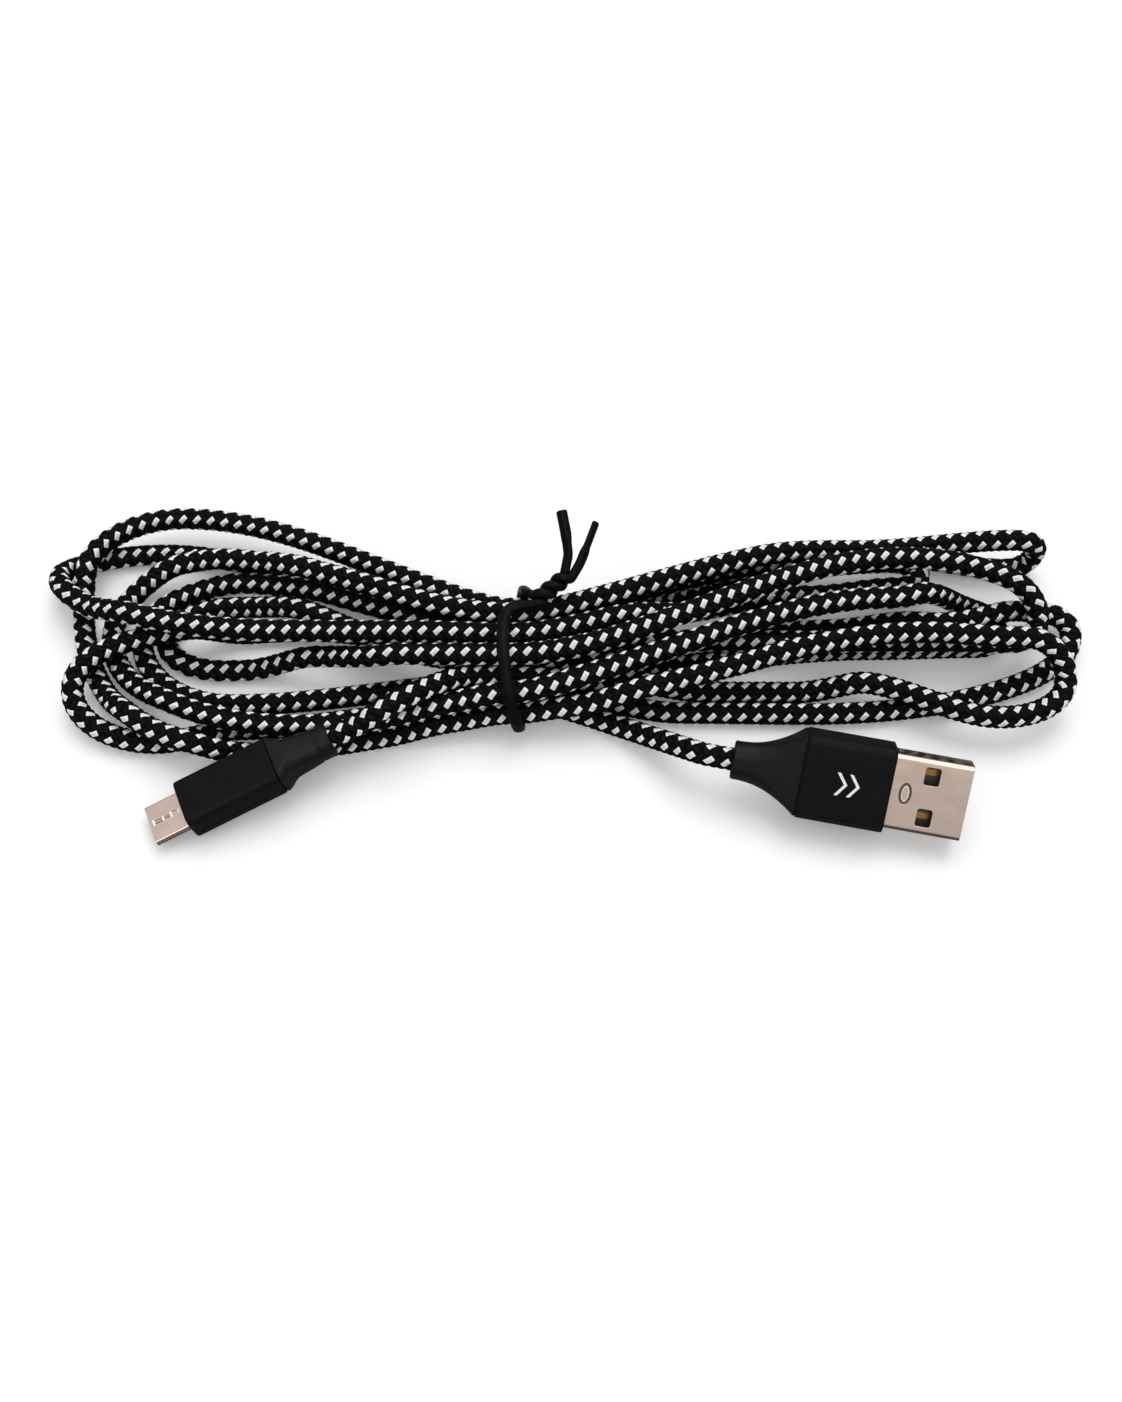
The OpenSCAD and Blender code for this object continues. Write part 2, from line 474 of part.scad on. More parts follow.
module micro_housing() {
  color([0.1, 0.1, 0.1]) on_micro() difference() {
    block(-mbh_l, 0, mbh_w, mbh_h, 1.5);
    along(mb_back - 0.02, 1) offset(delta = fit) mb_section(mb_w, mb_h, 0.62);
    block(mb_back - 3.23, mb_back, mb_w + 2*fit, 3 + 2*fit, 0.3);
    block(-mbh_l + 0.4, mb_back - 3.2, mclamp_w + 2*mclamp_t + 0.2, clamp_h + 2*mclamp_t + 0.2, 0.6);
    rod(-mbh_l - 1, -mbh_l + 1, jacket_d + 2*fit);
    // fine groove where the neck begins
    difference() {
      block(-mbh_l - 1, -mbh_l + 0.2, mbh_w + 1, mbh_h + 1, 1);
      block(-mbh_l - 2, 0, mbh_w - 0.4, mbh_h - 0.4, 1.3);
    }
  }
}
module micro_strain_relief() {
  x0 = -mbh_l;
  neck = mbr_l - mbr_collar;
  d = mbr_d - 0.2;
  color([0.08, 0.08, 0.08]) on_micro() difference() {
    union() {
      loft([for (w = [0:0.125:1]) let(g = pow(1 - w, 3))
        [x0 - (neck + 0.1)*w, d + (mbh_w - 0.1 - d)*g, d + (mbh_h - 0.1 - d)*g, 2 + 2*g]], 28);
      rod(x0 - mbr_l, x0 - neck, mbr_d);
    }
    rod(x0 - mbr_l - 1, x0 + 1, jacket_d + 2*fit);
  }
}

hank();
usb_a_lead();
micro_lead();
twist_tie();
tie_wire();
usb_a_shell();
usb_a_tongue();
usb_a_contacts();
usb_a_clamp();
usb_a_inner_mould();
usb_a_housing();
usb_a_strain_relief();
usb_a_wires();
usb_a_cable_end();
micro_shell();
micro_insulator();
micro_contacts();
micro_latch_left();
micro_latch_right();
micro_clamp();
micro_inner_mould();
micro_housing();
micro_strain_relief();
micro_wires();
micro_cable_end();
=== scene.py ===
import math

import bmesh
import bpy
import numpy as np
from mathutils import Matrix, Vector


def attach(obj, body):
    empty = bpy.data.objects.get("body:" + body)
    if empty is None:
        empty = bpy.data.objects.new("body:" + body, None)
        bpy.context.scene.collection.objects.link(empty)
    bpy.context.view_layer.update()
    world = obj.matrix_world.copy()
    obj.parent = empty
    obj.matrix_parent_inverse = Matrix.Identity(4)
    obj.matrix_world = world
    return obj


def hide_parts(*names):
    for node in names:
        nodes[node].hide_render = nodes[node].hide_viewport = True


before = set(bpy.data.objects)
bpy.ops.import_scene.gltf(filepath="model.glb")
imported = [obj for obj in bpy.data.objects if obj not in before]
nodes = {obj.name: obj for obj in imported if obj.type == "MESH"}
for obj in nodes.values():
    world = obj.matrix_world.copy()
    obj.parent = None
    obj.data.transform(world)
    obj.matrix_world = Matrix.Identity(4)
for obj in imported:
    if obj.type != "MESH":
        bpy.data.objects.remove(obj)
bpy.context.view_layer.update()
mm = 0.001
scene = bpy.context.scene
scene.view_settings.view_transform = "Standard"

# the camera looks down at the cable from in front
camera = {
    "at": (7.93, -129.16, 216.51),  # millimetres
    "tip": 30,  # degrees, from straight down
    "lens": 48.85,
}
lens = bpy.data.cameras.new("viewer")
lens.sensor_fit = "HORIZONTAL"
lens.sensor_width = 36.0
lens.lens = camera["lens"]
lens.clip_start = 0.005
lens.clip_end = 5.0
viewer = bpy.data.objects.new("viewer", lens)
scene.collection.objects.link(viewer)
viewer.location = tuple(v * mm for v in camera["at"])
viewer.rotation_euler = (math.radians(camera["tip"]), 0, 0)
scene.camera = viewer
print("camera set")

# the braided cord, in millimetres
cordSizes = {
    "rest": 1.36,  # height of its middle where the CAD cord lies on the table
    "restLift": 0.34,  # the braid is a little thicker than the CAD cord, so it lies higher
    "lead": 9.8,  # length in which a yarn goes once round
    "yarnsEachWay": 8,
    "valley": 1.56,  # radius between the yarns
    "relief": 0.31,  # how far a yarn stands out
    "start": 0.8,  # where the pattern starts, in radians
}

# where the plugs lie: the middle of the housing's front, then roll, pitch and yaw in degrees,
# and how far behind that front the cord ends
plugs = {
    "usb": {"at": (58.3, -23.6, 7.2), "turn": (43, 1, -11), "cordEnd": 24.2},
    "micro": {"at": (-50.4, -25.5, 2.8), "turn": (5, 10, -155), "cordEnd": 25.0},
}

# the strands' places in the waist: y and z
rest = cordSizes["rest"]
slotT1, slotT2, slotT3, slotT4 = (6.4, 10.2), (2.45, 10.2), (-1.4, 10.2), (-7.2, 8.1)
slotM1, slotM2, slotM3 = (9.4, 6.9), (4.5, 6.8), (0.55, 6.8)
slotM4, slotM5 = (-3.4, 6.8), (-8.9, 4.3)
slotB1, slotB2, slotB3, slotB4 = (6.6, 3.3), (2.7, 3.3), (-1.2, 3.3), (-5.1, 3.3)
# the folds, in the order the cord runs through them: side, tip, leg out and leg back
# a leg: slot, how long it stays on the slot's line, plan (x, y) and heights (x, z)
folds = [
    (1, (89, -3.9, 6.4),
     (slotM4, 1.2, [(55, -3.6), (78, -10.2)],
      [(12, 5.3), (18, 5.3), (32, rest), (46, rest), (58, 5.3), (80, 5.3)]),
     (slotM5, 1.8, [(66, 3.2), (82, 2)],
      [(10, 5.8), (22, 8.2), (36, 8.4), (46, 9.2), (62, 9.4), (84, 9.9)])),
    (-1, (72.6, 16.6, 3.4),
     (slotM5, 1.2, [(46, -15.1)],
      [(10, 3.1), (20, rest), (40, rest), (52, 5.4), (61, 5.4), (67, 1.8), (72, 1.7)]),
     (slotM1, 0.8, [(57, 28.9)], [(30, 5.6), (60, 5.4), (71.2, 5.4)])),
    (1, (68.4, 17.8, 4.6),
     (slotM1, 1.2, [(50, 20), (64, 20.8)], [(12, 5.4), (40, 5.2), (54, 3.9), (64, 3.9)]),
     (slotT2, 1.2, [(50, 13), (64, 14.6)], [(16, 10.2), (32, 5.4), (64, 5.4)])),
    (-1, (76.8, 18.4, 3.6),
     (slotT2, 1.2, [(36, 3.4)], [(12, 10.3), (30, 9.6), (62, 9.5), (72, 6.3)]),
     (slotB1, 1.2, [(60, 24)], [(14, 2.2), (24, rest), (70.6, rest)])),
    (1, (88.4, 22.2, 5.3),
     (slotB1, 1.2, [(60, 24.4), (84, 21)], [(14, rest), (84, rest)]),
     (slotT1, 0.9, [(58, 20.4), (84, 21.6)], [(40, 9.6), (58, 7.9), (84, 9.2)])),
    (-1, (66.8, 8, 1.7),
     (slotT1, 1.6, [(52, 20.2)], [(14, 9.9), (22, 9.8), (34, 8.6), (46, 6.3), (56, 5), (66, 2)]),
     (slotT4, 1.2, [(34, -11.8)], [(10, 6.7), (21, 5.3), (54, 5.3), (66.2, 1.7)])),
    (1, (81, 8.6, rest),
     (slotT4, 1.1, [(62, 9.9), (75, 13)], [(14, 9.4), (66, 9.4), (78, rest)]),
     (slotM3, 2.8, [(60, 4.8), (77.5, 5.2)], [(12, 4.8), (30, rest)])),
    (-1, (57.8, 6.6, rest),
     (slotM3, 2.8, [(46.4, 13.1)], [(10, 6), (20, 5.5), (34, 5.3), (46, rest)]),
     (slotT3, 1.2, [(20, -1), (32, 1.2), (48, 0.6)], [(18, 9.6), (32, 5.3), (44, rest)])),
    (1, (86.2, 7, 6.8),
     (slotT3, 1.6, [(64, 16.6)], [(30, 11.2), (70, 11.2), (81, 10.6)]),
     (slotM2, 1.2, [(60, 3.9), (82, 3.8)], [(12, 5.6), (30, 5.4), (81, 5.4)])),
    (-1, (61.8, 7.2, rest),
     (slotM2, 1.4, [(47.4, 17.1)], [(16, 6), (30, 4.9), (44, 3.2), (56, rest)]),
     (slotB3, 1.2, [(45.6, -5.9)], [(14, rest)])),
    (1, (92.8, 7.4, 2.4),
     (slotB3, 1, [(28, -7.4), (48, -7.6)], [(9, rest), (88, rest)]),
     (slotB2, 0.6, [(60, 8.8), (71, 7.8), (88, 10.8)],
      [(14, rest), (54, rest), (68, 5), (81, 5.4), (88, 3.6)])),
    (-1, (71, -4.4, 4.6),
     (slotB2, 1.2, [(34, 8.3)], [(14, rest), (44, rest), (54, 5.4), (67, 6.2)]),
     (slotB4, 1.2, [(44, -10.4), (57, -12.9)], [(14, rest), (57, rest)])),
]


def ease(w):
    return w * w * (3 - 2 * w)


def sweepOut(u, hold):
    # from 0 to 1, soft at the start; hold keeps it on the slot's line for longer
    soft = 0.08
    v = (np.sqrt(u * u + soft * soft) - soft) / (math.sqrt(1 + soft * soft) - soft)
    return 1 - (1 - v) ** 2 * (1 + hold * v)


def along(stations, x, roundedEnd):
    s = np.array(stations, float)
    i = np.clip(np.searchsorted(s[:, 0], x, side="right") - 1, 0, len(s) - 2)
    w = np.clip((x - s[i, 0]) / (s[i + 1, 0] - s[i, 0]), 0, 1)
    e = ease(w)
    if roundedEnd:
        e = np.where(i == len(s) - 2, 1 - np.sqrt(np.maximum(1 - w * w, 0)), e)
    return s[i, 1] + (s[i + 1, 1] - s[i, 1]) * e


def legPoints(tip, leg, q):
    # q goes from 0 at the waist to 1 at the shoulder of the turn and 2 at its tip
    slot, hold, plan, heights = leg
    shoulderX, shoulderY = plan[-1]
    firstX, firstY = plan[0]
    a = np.maximum(q - 1, 0) * math.pi / 2
    x = np.where(q < 1, shoulderX * q, shoulderX + (tip[0] - shoulderX) * np.sin(a))
    y = slot[0] + (firstY - slot[0]) * sweepOut(np.minimum(x / firstX, 1), hold)
    if len(plan) > 1:
        y = np.where(x > firstX, along(plan, np.minimum(x, shoulderX), False), y)
    y = np.where(q < 1, y, tip[1] + (shoulderY - tip[1]) * np.cos(a))
    z = along([(0, slot[1])] + list(heights) + [(tip[0], tip[2])], x, True)
    return np.stack([x, y, z], -1)


def foldPoints(fold, n=240):
    side, tip, out, home = fold
    go = legPoints(tip, out, np.linspace(0, 2, n, endpoint=False))
    come = legPoints(tip, home, np.linspace(0, 2, n + 1))[::-1][:-1]
    line = np.concatenate([go, come])
    line[:, 0] *= side
    return line


def through(guide, d0, d1, n):
    # a smooth line through the guide's points, leaving along d0 and arriving along d1
    g = np.array(guide, float)
    t = np.zeros_like(g)
    t[1:-1] = (g[2:] - g[:-2]) / 2
    t[0] = d0 * np.linalg.norm(g[1] - g[0])
    t[-1] = d1 * np.linalg.norm(g[-1] - g[-2])
    line = []
    for i in range(len(g) - 1):
        for w in np.arange(n) / n:
            w2, w3 = w * w, w * w * w
            line.append(g[i] * (2 * w3 - 3 * w2 + 1) + t[i] * (w3 - 2 * w2 + w)
                        + g[i + 1] * (3 * w2 - 2 * w3) + t[i + 1] * (w3 - w2))
    return np.array(line + [g[-1]])


def plugTurn(plug, size):
    roll, pitch, yaw = (math.radians(v) for v in plug["turn"])
    return (Matrix.Rotation(yaw, size, "Z") @ Matrix.Rotation(pitch, size, "Y")
            @ Matrix.Rotation(roll, size, "X"))


def leadLine(guide, away, plug):
    # one free end of the cord, from the waist to the back of its plug, where it arrives straight
    straight = 3.4
    ahead = np.array(plugTurn(plug, 3) @ Vector((1, 0, 0)))
    end = np.array(plug["at"]) - plug["cordEnd"] * ahead
    bent = through(guide[1:] + [end - straight * ahead], np.array([away, 0, 0]), ahead, 12)
    return np.concatenate([guide[:1], bent, [end]])


usbLead = leadLine([(0.0, -5.1, 3.3), (3.4, -5.1, 3.3), (8, -6.6, 1.9), (12.6, -8.1, 1.5),
                    (17.4, -10, 1.6), (22, -12.6, 3.4), (26.8, -15.9, 6)], 1, plugs["usb"])
microLead = leadLine([(0.0, -3.4, 6.8), (-3.4, -3.4, 6.8), (-7.5, -3.9, 7.3), (-11.5, -6.2, 9.1),
                      (-16, -9.2, 10.2), (-20.5, -11.8, 9.9)], -1, plugs["micro"])
route = np.concatenate([microLead[::-1][:-1]] + [foldPoints(f) for f in folds] + [usbLead])
fadeOver = 2  # height above rest at which the lift has gone
lowness = np.maximum(0, 1 - np.maximum(route[:, 2] - rest, 0) / fadeOver)
route[:, 2] += cordSizes["restLift"] * lowness
print("route worked out")


def lengthsAlong(line):
    return np.r_[0, np.cumsum(np.linalg.norm(np.diff(line, axis=0), axis=1))]


def evenly(line, step):
    far = lengthsAlong(line)
    n = max(2, int(round(far[-1] / step)))
    s = np.linspace(0, far[-1], n + 1)
    return np.stack([np.interp(s, far, line[:, i]) for i in range(3)], -1), s


def smoothed(line, reach):
    pad = np.concatenate([np.repeat(line[:1], reach, 0), line, np.repeat(line[-1:], reach, 0)])
    k = np.hanning(2 * reach + 1)
    k /= k.sum()
    out = np.stack([np.convolve(pad[:, i], k, "valid") for i in range(3)], -1)
    out[0], out[-1] = line[0], line[-1]
    return out


def carriedFrames(line):
    # two directions square to the line, carried along it without a twist
    t = np.gradient(line, axis=0)
    t /= np.linalg.norm(t, axis=1)[:, None]
    s = np.zeros_like(line)
    v = np.cross((0, 0, 1), t[0])
    for i in range(len(line)):
        v = v - v.dot(t[i]) * t[i]
        v /= np.linalg.norm(v)
        s[i] = v
    return s, np.cross(t, s)


def newObject(name, verts, faces, smooth=True):
    mesh = bpy.data.meshes.new(name)
    mesh.from_pydata([tuple(v) for v in verts], [], faces)
    mesh.update()
    if smooth:
        mesh.polygons.foreach_set("use_smooth", [True] * len(mesh.polygons))
    obj = bpy.data.objects.new(name, mesh)
    scene.collection.objects.link(obj)
    return obj


def gridMesh(name, points, around, turns=None):
    # a tube from rings of points, closed at both ends; turns counts the braid's turns along it
    rings = len(points) // around
    mesh = bpy.data.meshes.new(name)
    mesh.vertices.add(len(points))
    mesh.vertices.foreach_set("co", points.astype(np.float32).ravel())
    i = np.arange(rings - 1)[:, None] * around
    k = np.arange(around)[None, :]
    k2 = (k + 1) % around
    quads = np.stack([i + k, i + k2, i + around + k2, i + around + k], -1).reshape(-1, 4)
    caps = [np.arange(around)[::-1], (rings - 1) * around + np.arange(around)]
    loops = np.concatenate([quads.ravel()] + caps).astype(np.int32)
    starts = np.concatenate([np.arange(len(quads)) * 4, quads.size + np.arange(2) * around])
    mesh.loops.add(len(loops))
    mesh.loops.foreach_set("vertex_index", loops)
    mesh.polygons.add(len(starts))
    mesh.polygons.foreach_set("loop_start", starts.astype(np.int32))
    mesh.update(calc_edges=True)
    mesh.polygons.foreach_set("use_smooth", np.ones(len(mesh.polygons), bool))
    if turns is not None:
        uu, vv = np.empty((2, rings - 1, around, 4))
        uu[..., 0] = uu[..., 3] = k / around
        uu[..., 1] = uu[..., 2] = (k + 1) / around
        vv[..., 0] = vv[..., 1] = turns[:-1, None]
        vv[..., 2] = vv[..., 3] = turns[1:, None]
        addMap(mesh, "braid", uu, vv)
        # the second map lays the cord out in strips side by side, for baking
        strips = 14
        per = -(-(rings - 1) // strips)
        row = np.arange(rings - 1)
        uu = uu * 0.96 + 0.02 + (row // per)[:, None, None]
        vv[..., 0] = vv[..., 1] = ((row % per) / per)[:, None]
        vv[..., 2] = vv[..., 3] = vv[..., 0] + 1 / per
        addMap(mesh, "OFBake", uu / strips, vv * 0.998 + 0.001)
    mesh.validate()
    obj = bpy.data.objects.new(name, mesh)
    scene.collection.objects.link(obj)
    return obj


def addMap(mesh, name, uu, vv):
    # the two end caps keep (0, 0)
    values = np.zeros((len(mesh.loops), 2), np.float32)
    values[:uu.size, 0] = uu.ravel()
    values[:uu.size, 1] = vv.ravel()
    mesh.uv_layers.new(name=name).data.foreach_set("uv", values.ravel())


def braidHeight(u, v):
    # two yarns over, two under: 0 where a yarn dips and 1 on its crest
    yarns = cordSizes["yarnsEachWay"]
    a, b = yarns * (u + v), yarns * (u - v)
    i, j = np.floor(a), np.floor(b)
    over = np.mod(i + j, 4) < 2
    t = np.where(over, np.mod(i + b, 4), np.mod(j + a, 4) - 2)
    f = np.where(over, a - i, b - j)
    crest = np.sin(np.pi * np.clip(t, 0, 2) / 2) ** 0.8
    return crest * (0.5 + 0.5 * (1 - (2 * f - 1) ** 2))


ringsEachLead = 32
around = 32  # points in each ring
ringStep = cordSizes["lead"] / ringsEachLead
cordLine, cordRun = evenly(smoothed(evenly(route, 0.3)[0], 6), ringStep)
sideways, upward = carriedFrames(cordLine)
turns = cordRun / cordSizes["lead"]
u = np.arange(around) / around
height = braidHeight(u[None, :], turns[:, None])
radius = cordSizes["valley"] + cordSizes["relief"] * height
angle = (2 * np.pi * u + cordSizes["start"])[None, :, None]
ring = np.cos(angle) * sideways[:, None, :] + np.sin(angle) * upward[:, None, :]
points = cordLine[:, None, :] + radius[..., None] * ring
points[..., 2] = np.maximum(points[..., 2], 0.02)  # the table presses it flat
cord = gridMesh("braidedCord", points.reshape(-1, 3) * mm, around, turns)
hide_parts("hank", "usb_a_lead", "micro_lead")
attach(cord, "cable")
print("cord", round(float(cordRun[-1]), 1), "mm long")

# the twist tie, in millimetres
tieSizes = {
    "radius": 0.75,
    "turns": 1.5,
    "flatten": (0.2, 0.12),  # wider and thinner by this where it lies flat
    "tail": 5.5,  # length over which the two tails differ
    "tailOneThicker": 0.2,
    "tailTwoSlimmer": 0.24,  # a share
    "loop": [(2.8, 6, 13), (0.9, 6.2, 12.8), (-0.7, 5, 12.8), (-1.3, 2.2, 12.75),
             (-1.3, -1.4, 12.7), (-0.8, -5.2, 12.1), (-0.2, -8.7, 10.15), (0.6, -11, 6.8),
             (1.1, -11.4, 4.4), (1.2, -10.6, 2.4), (1.1, -8.4, 1.3), (0.8, -5.1, 0.8),
             (0.4, 0.7, 0.8), (0.4, 6.4, 0.8), (0.8, 8.9, 1.7), (1.2, 11.2, 4.4),
             (1.6, 12, 7), (1.9, 11.3, 9.6), (2.2, 9.9, 11.6), (2.7, 8.5, 12.8)],
    "twist": ((4.2, 6.8, 13.7), (9, 10.4, 14.9)),
    "tailOne": [(9.1, 13.4, 16.6), (8.7, 16.4, 18.3), (8, 19.6, 20)],
    "tailTwo": [(11, 12.6, 15.3), (12.4, 15.8, 16.8), (13.6, 18.8, 18)],
}


def unit(v):
    v = np.array(v, float)
    return v / np.linalg.norm(v)


tieRadius = tieSizes["radius"]
twistStart, twistEnd = (np.array(p) for p in tieSizes["twist"])
twistSpan = twistEnd - twistStart
twistDir = unit(twistSpan)
twistSide = unit(np.cross((0, 0, 1), twistDir))
twistUp = np.cross(twistDir, twistSide)


def twist(phase):
    w = np.arange(15) / 14
    a = np.radians(phase + 360 * tieSizes["turns"] * w)
    return (twistStart + twistSpan * w[:, None]
            + (tieRadius + 0.04) * (np.cos(a)[:, None] * twistSide + np.sin(a)[:, None] * twistUp))


tieLine = np.concatenate([
    tieSizes["tailOne"][::-1], twist(180)[::-1],
    through(tieSizes["loop"], unit((-1, 0, -0.1)), unit((0.6, -0.6, 0.5)), 4),
    twist(0), tieSizes["tailTwo"]])
tieLine = smoothed(evenly(tieLine, 0.12)[0], 7)
tieAcross, tieUp = carriedFrames(tieLine)
tieSides = 24
tieAngle = 2 * np.pi * np.arange(tieSides) / tieSides
tieFar = lengthsAlong(tieLine)
# the coating is an oval, and its wide side lies on the hank
middle = np.argmin(np.linalg.norm(tieLine - np.array(tieSizes["loop"][7]), axis=1))
tilt = math.atan2(tieUp[middle][0], tieAcross[middle][0])
tieAcross, tieUp = (tieAcross * math.cos(tilt) + tieUp * math.sin(tilt),
                    tieUp * math.cos(tilt) - tieAcross * math.sin(tilt))
# how far each point is from the twist's own line, where the coating is nearly round
share = np.clip((tieLine - twistStart) @ twistDir / np.linalg.norm(twistSpan), 0, 1)
apart = np.linalg.norm(tieLine - (twistStart + share[:, None] * twistSpan), axis=1)
flat = ease(np.clip((apart - 1.2) / 2.5, 0, 1))
# a slight unevenness, blunt ends and two unlike tails
wear = 0.03 * np.sin(tieFar * 2.1) * np.sin(tieFar * 0.7 + 1)
fromEnd = np.minimum(tieFar, tieFar[-1] - tieFar)
inTailOne = ease(np.clip((tieSizes["tail"] - tieFar) / 1.5, 0, 1))
inTailTwo = ease(np.clip((tieFar - tieFar[-1] + tieSizes["tail"]) / 1.5, 0, 1))
slim = 1 - 0.2 * np.clip(1 - fromEnd / 0.2, 0, 1) ** 2
slim = slim * (1 - tieSizes["tailTwoSlimmer"] * inTailTwo)
widen, narrow = tieSizes["flatten"]
wide = (tieRadius + 0.05 + widen * flat + wear) * slim
thin = (tieRadius + 0.02 - narrow * flat + tieSizes["tailOneThicker"] * inTailOne
        - 0.5 * wear) * slim
tiePoints = (tieLine[:, None, :]
             + (wide[:, None] * np.cos(tieAngle))[..., None] * tieAcross[:, None, :]
             + (thin[:, None] * np.sin(tieAngle))[..., None] * tieUp[:, None, :])
tie = gridMesh("twistTie", tiePoints.reshape(-1, 3) * mm, tieSides)
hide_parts("twist_tie")
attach(tie, "cable")
print("tie done")


def placed(plug):
    # plugs are made with +X to the mouth, in millimetres, and then put in their places
    return Matrix.Translation(Vector(plug["at"]) * mm) @ plugTurn(plug, 4)


usbPlace, microPlace = placed(plugs["usb"]), placed(plugs["micro"])
fourCorners = [(1, 1), (-1, 1), (-1, -1), (1, -1)]


def softRect(w, h, corner, n=8, flat=4):
    corner = min(corner, w / 2 - 0.001, h / 2 - 0.001)
    arcs = []
    for q, (sx, sy) in enumerate(fourCorners):
        a = math.pi / 2 * (q + np.arange(n + 1) / n)
        arcs.append(np.stack([sx * (w / 2 - corner) + corner * np.cos(a),
                              sy * (h / 2 - corner) + corner * np.sin(a)], -1))
    pts = []
    for q in range(4):
        start, end = arcs[q][-1], arcs[(q + 1) % 4][0]
        pts.append(arcs[q])
        pts.append(start + (end - start) * (np.arange(1, flat) / flat)[:, None])
    return np.concatenate(pts)


def cornerArc(a, p, b, n):
    # a curve from a to b, pulled towards the corner p
    w = np.linspace(0, 1, n + 1)[:, None]
    return a * (1 - w) ** 2 + 2 * p * w * (1 - w) + b * w ** 2


def bevelRect(w, h, bevel):
    # four chamfers, each with a small round on both of its edges
    reach, n, flat = 0.22, 3, 4
    corners = []
    for sx, sy in fourCorners:
        pair = [(sx * w / 2, sy * (h / 2 - bevel)), (sx * (w / 2 - bevel), sy * h / 2)]
        corners += [np.array(p) for p in (pair if sx * sy > 0 else pair[::-1])]
    pts = []
    for i, p in enumerate(corners):
        before, after = corners[i - 1], corners[(i + 1) % 8]
        b = p + (after - p) / np.linalg.norm(after - p) * reach
        pts.append(cornerArc(p + (before - p) / np.linalg.norm(before - p) * reach, p, b, n))
        nextA = after + (p - after) / np.linalg.norm(after - p) * reach
        pts.append(b + (nextA - b) * (np.arange(1, flat) / flat)[:, None])
    return np.concatenate(pts)


def outward(obj):
    bm = bmesh.new()
    bm.from_mesh(obj.data)
    bmesh.ops.recalc_face_normals(bm, faces=bm.faces)
    bm.to_mesh(obj.data)
    bm.free()


def loft(name, node, rows, where, section=softRect, lift=None):
    # rows: x, width, height and corner of each section; lift raises each one
    rings = []
    for k, (x, *sizes) in enumerate(rows):
        outline = section(*sizes)
        ring = np.column_stack([np.full(len(outline), x), outline])
        ring[:, 2] += lift[k] if lift else 0
        rings.append(ring)
    obj = gridMesh(name, np.concatenate(rings) * mm, len(rings[0]))
    obj.data.transform(where)
    outward(obj)
    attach(obj, "cable")
    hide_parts(node)
    return obj


def housingRows(plug):
    # from the steps at its back to the round edge at its front, which is at 0
    w, h, corner = plug["housing"]
    rows = [(plug["housingBack"] + d, w - less, h - less, stepCorner)
            for d, less, stepCorner in plug["backSteps"]]
    rows += [(x, w, h, corner) for x in plug["stations"]]
    for k in range(6):
        a = math.pi / 2 * k / 5
        d = plug["frontEdge"] * (1 - math.cos(a))
        rows.append((-plug["frontEdge"] * (1 - math.sin(a)), w - 2 * d, h - 2 * d,
                     max(corner - 0.4 * d, 0.05)))
    return rows


# the USB-A plug; places along it are measured from the front of its housing
usb = {
    "housing": (13.4, 7.1, 1.0),  # width, height and bevel
    "housingBack": -13.7,
    # distance from the back, how much smaller the section is there, and its bevel
    "backSteps": ((0, 0.3, 1.0), (0.24, 0.3, 1.0), (0.28, 0.24, 1.0), (0.32, 0.06, 1.0),
                  (0.4, 0, 1.0), (0.7, 0, 1.0)),
    "stations": (-10.0, -7.0, -4.0, -1.5, -0.6),
    "frontEdge": 0.25,
    "sleeveFrom": -13.72,
    "sleeveLength": 10.2,
    "sleeveEnd": (6.0, 5.0),
    "sleeveFlare": 2.2,
    "sleeveRim": 0.3,
    "shell": (12, 4.5, 0.7),  # width, height and corner
    "shellInside": (11.4, 3.9, 0.4),
    "shellEnds": (-6.5, 11.75),
    "window": (2.3, 2.8, 0.42),  # length, width and corner
    "windowAt": (5.8, 3.3),  # along, and to each side
    "shellEdge": 0.06,
    "clinchAt": 2.3,
    # its ovals: height, half the length and half the width, half the line's width and depth
    "clinchCut": (2.17, (0.76, 1.5), 0.18, 0.15),
    # the second oval is painted shade: a dark ring laid in the groove's floor
    "clinchShadeRing": (2.09, (0.76, 1.5), 0.2, 0.05),
    # the third oval is a painted highlight: a pale ring just inside the groove
    "clinchHighlightSize": (2.24, (0.5, 1.22), 0.06, 0.03),
    "chevron": [(0, -1.8), (0.52, -1.8), (1.8, 0), (0.52, 1.8), (0, 1.8), (1.28, 0)],
    "chevronsAt": (-8.4, -6.5),
    "chevronHeights": (3.5, 3.565),
}
usbHousing = loft("usbHousing", "usb_a_housing", housingRows(usb), usbPlace, bevelRect)

# the sleeve flares from the cord up to the housing
rows = []
uw, uh = usb["housing"][:2]
endW, endH = usb["sleeveEnd"]
for k in range(49):
    w = k / 48
    g = (1 - w) ** usb["sleeveFlare"]
    rows.append((usb["sleeveFrom"] - usb["sleeveLength"] * w, endW + (uw - 0.3 - endW) * g,
                 endH + (uh - 0.3 - endH) * g, 1.0 + 1.3 * min(1, 1.5 * w)))
endX, _, _, endCorner = rows[-1]
for k in range(1, 6):
    a = math.pi / 2 * k / 5
    d = usb["sleeveRim"] * (1 - math.cos(a))
    rows.append((endX - usb["sleeveRim"] * math.sin(a), endW - 2 * d, endH - 2 * d, endCorner - d))
usbSleeve = loft("usbSleeve", "usb_a_strain_relief", rows[::-1], usbPlace)


def prism(name, outline, low, high):
    # outline in x and y, standing from low to high
    n = len(outline)
    verts = [(x, y, low) for x, y in outline] + [(x, y, high) for x, y in outline]
    faces = [list(range(n))[::-1], list(range(n, 2 * n))]
    faces += [(k, (k + 1) % n, n + (k + 1) % n, n + k) for k in range(n)]
    obj = newObject(name, [(x * mm, y * mm, z * mm) for x, y, z in verts], faces, smooth=False)
    outward(obj)
    return obj


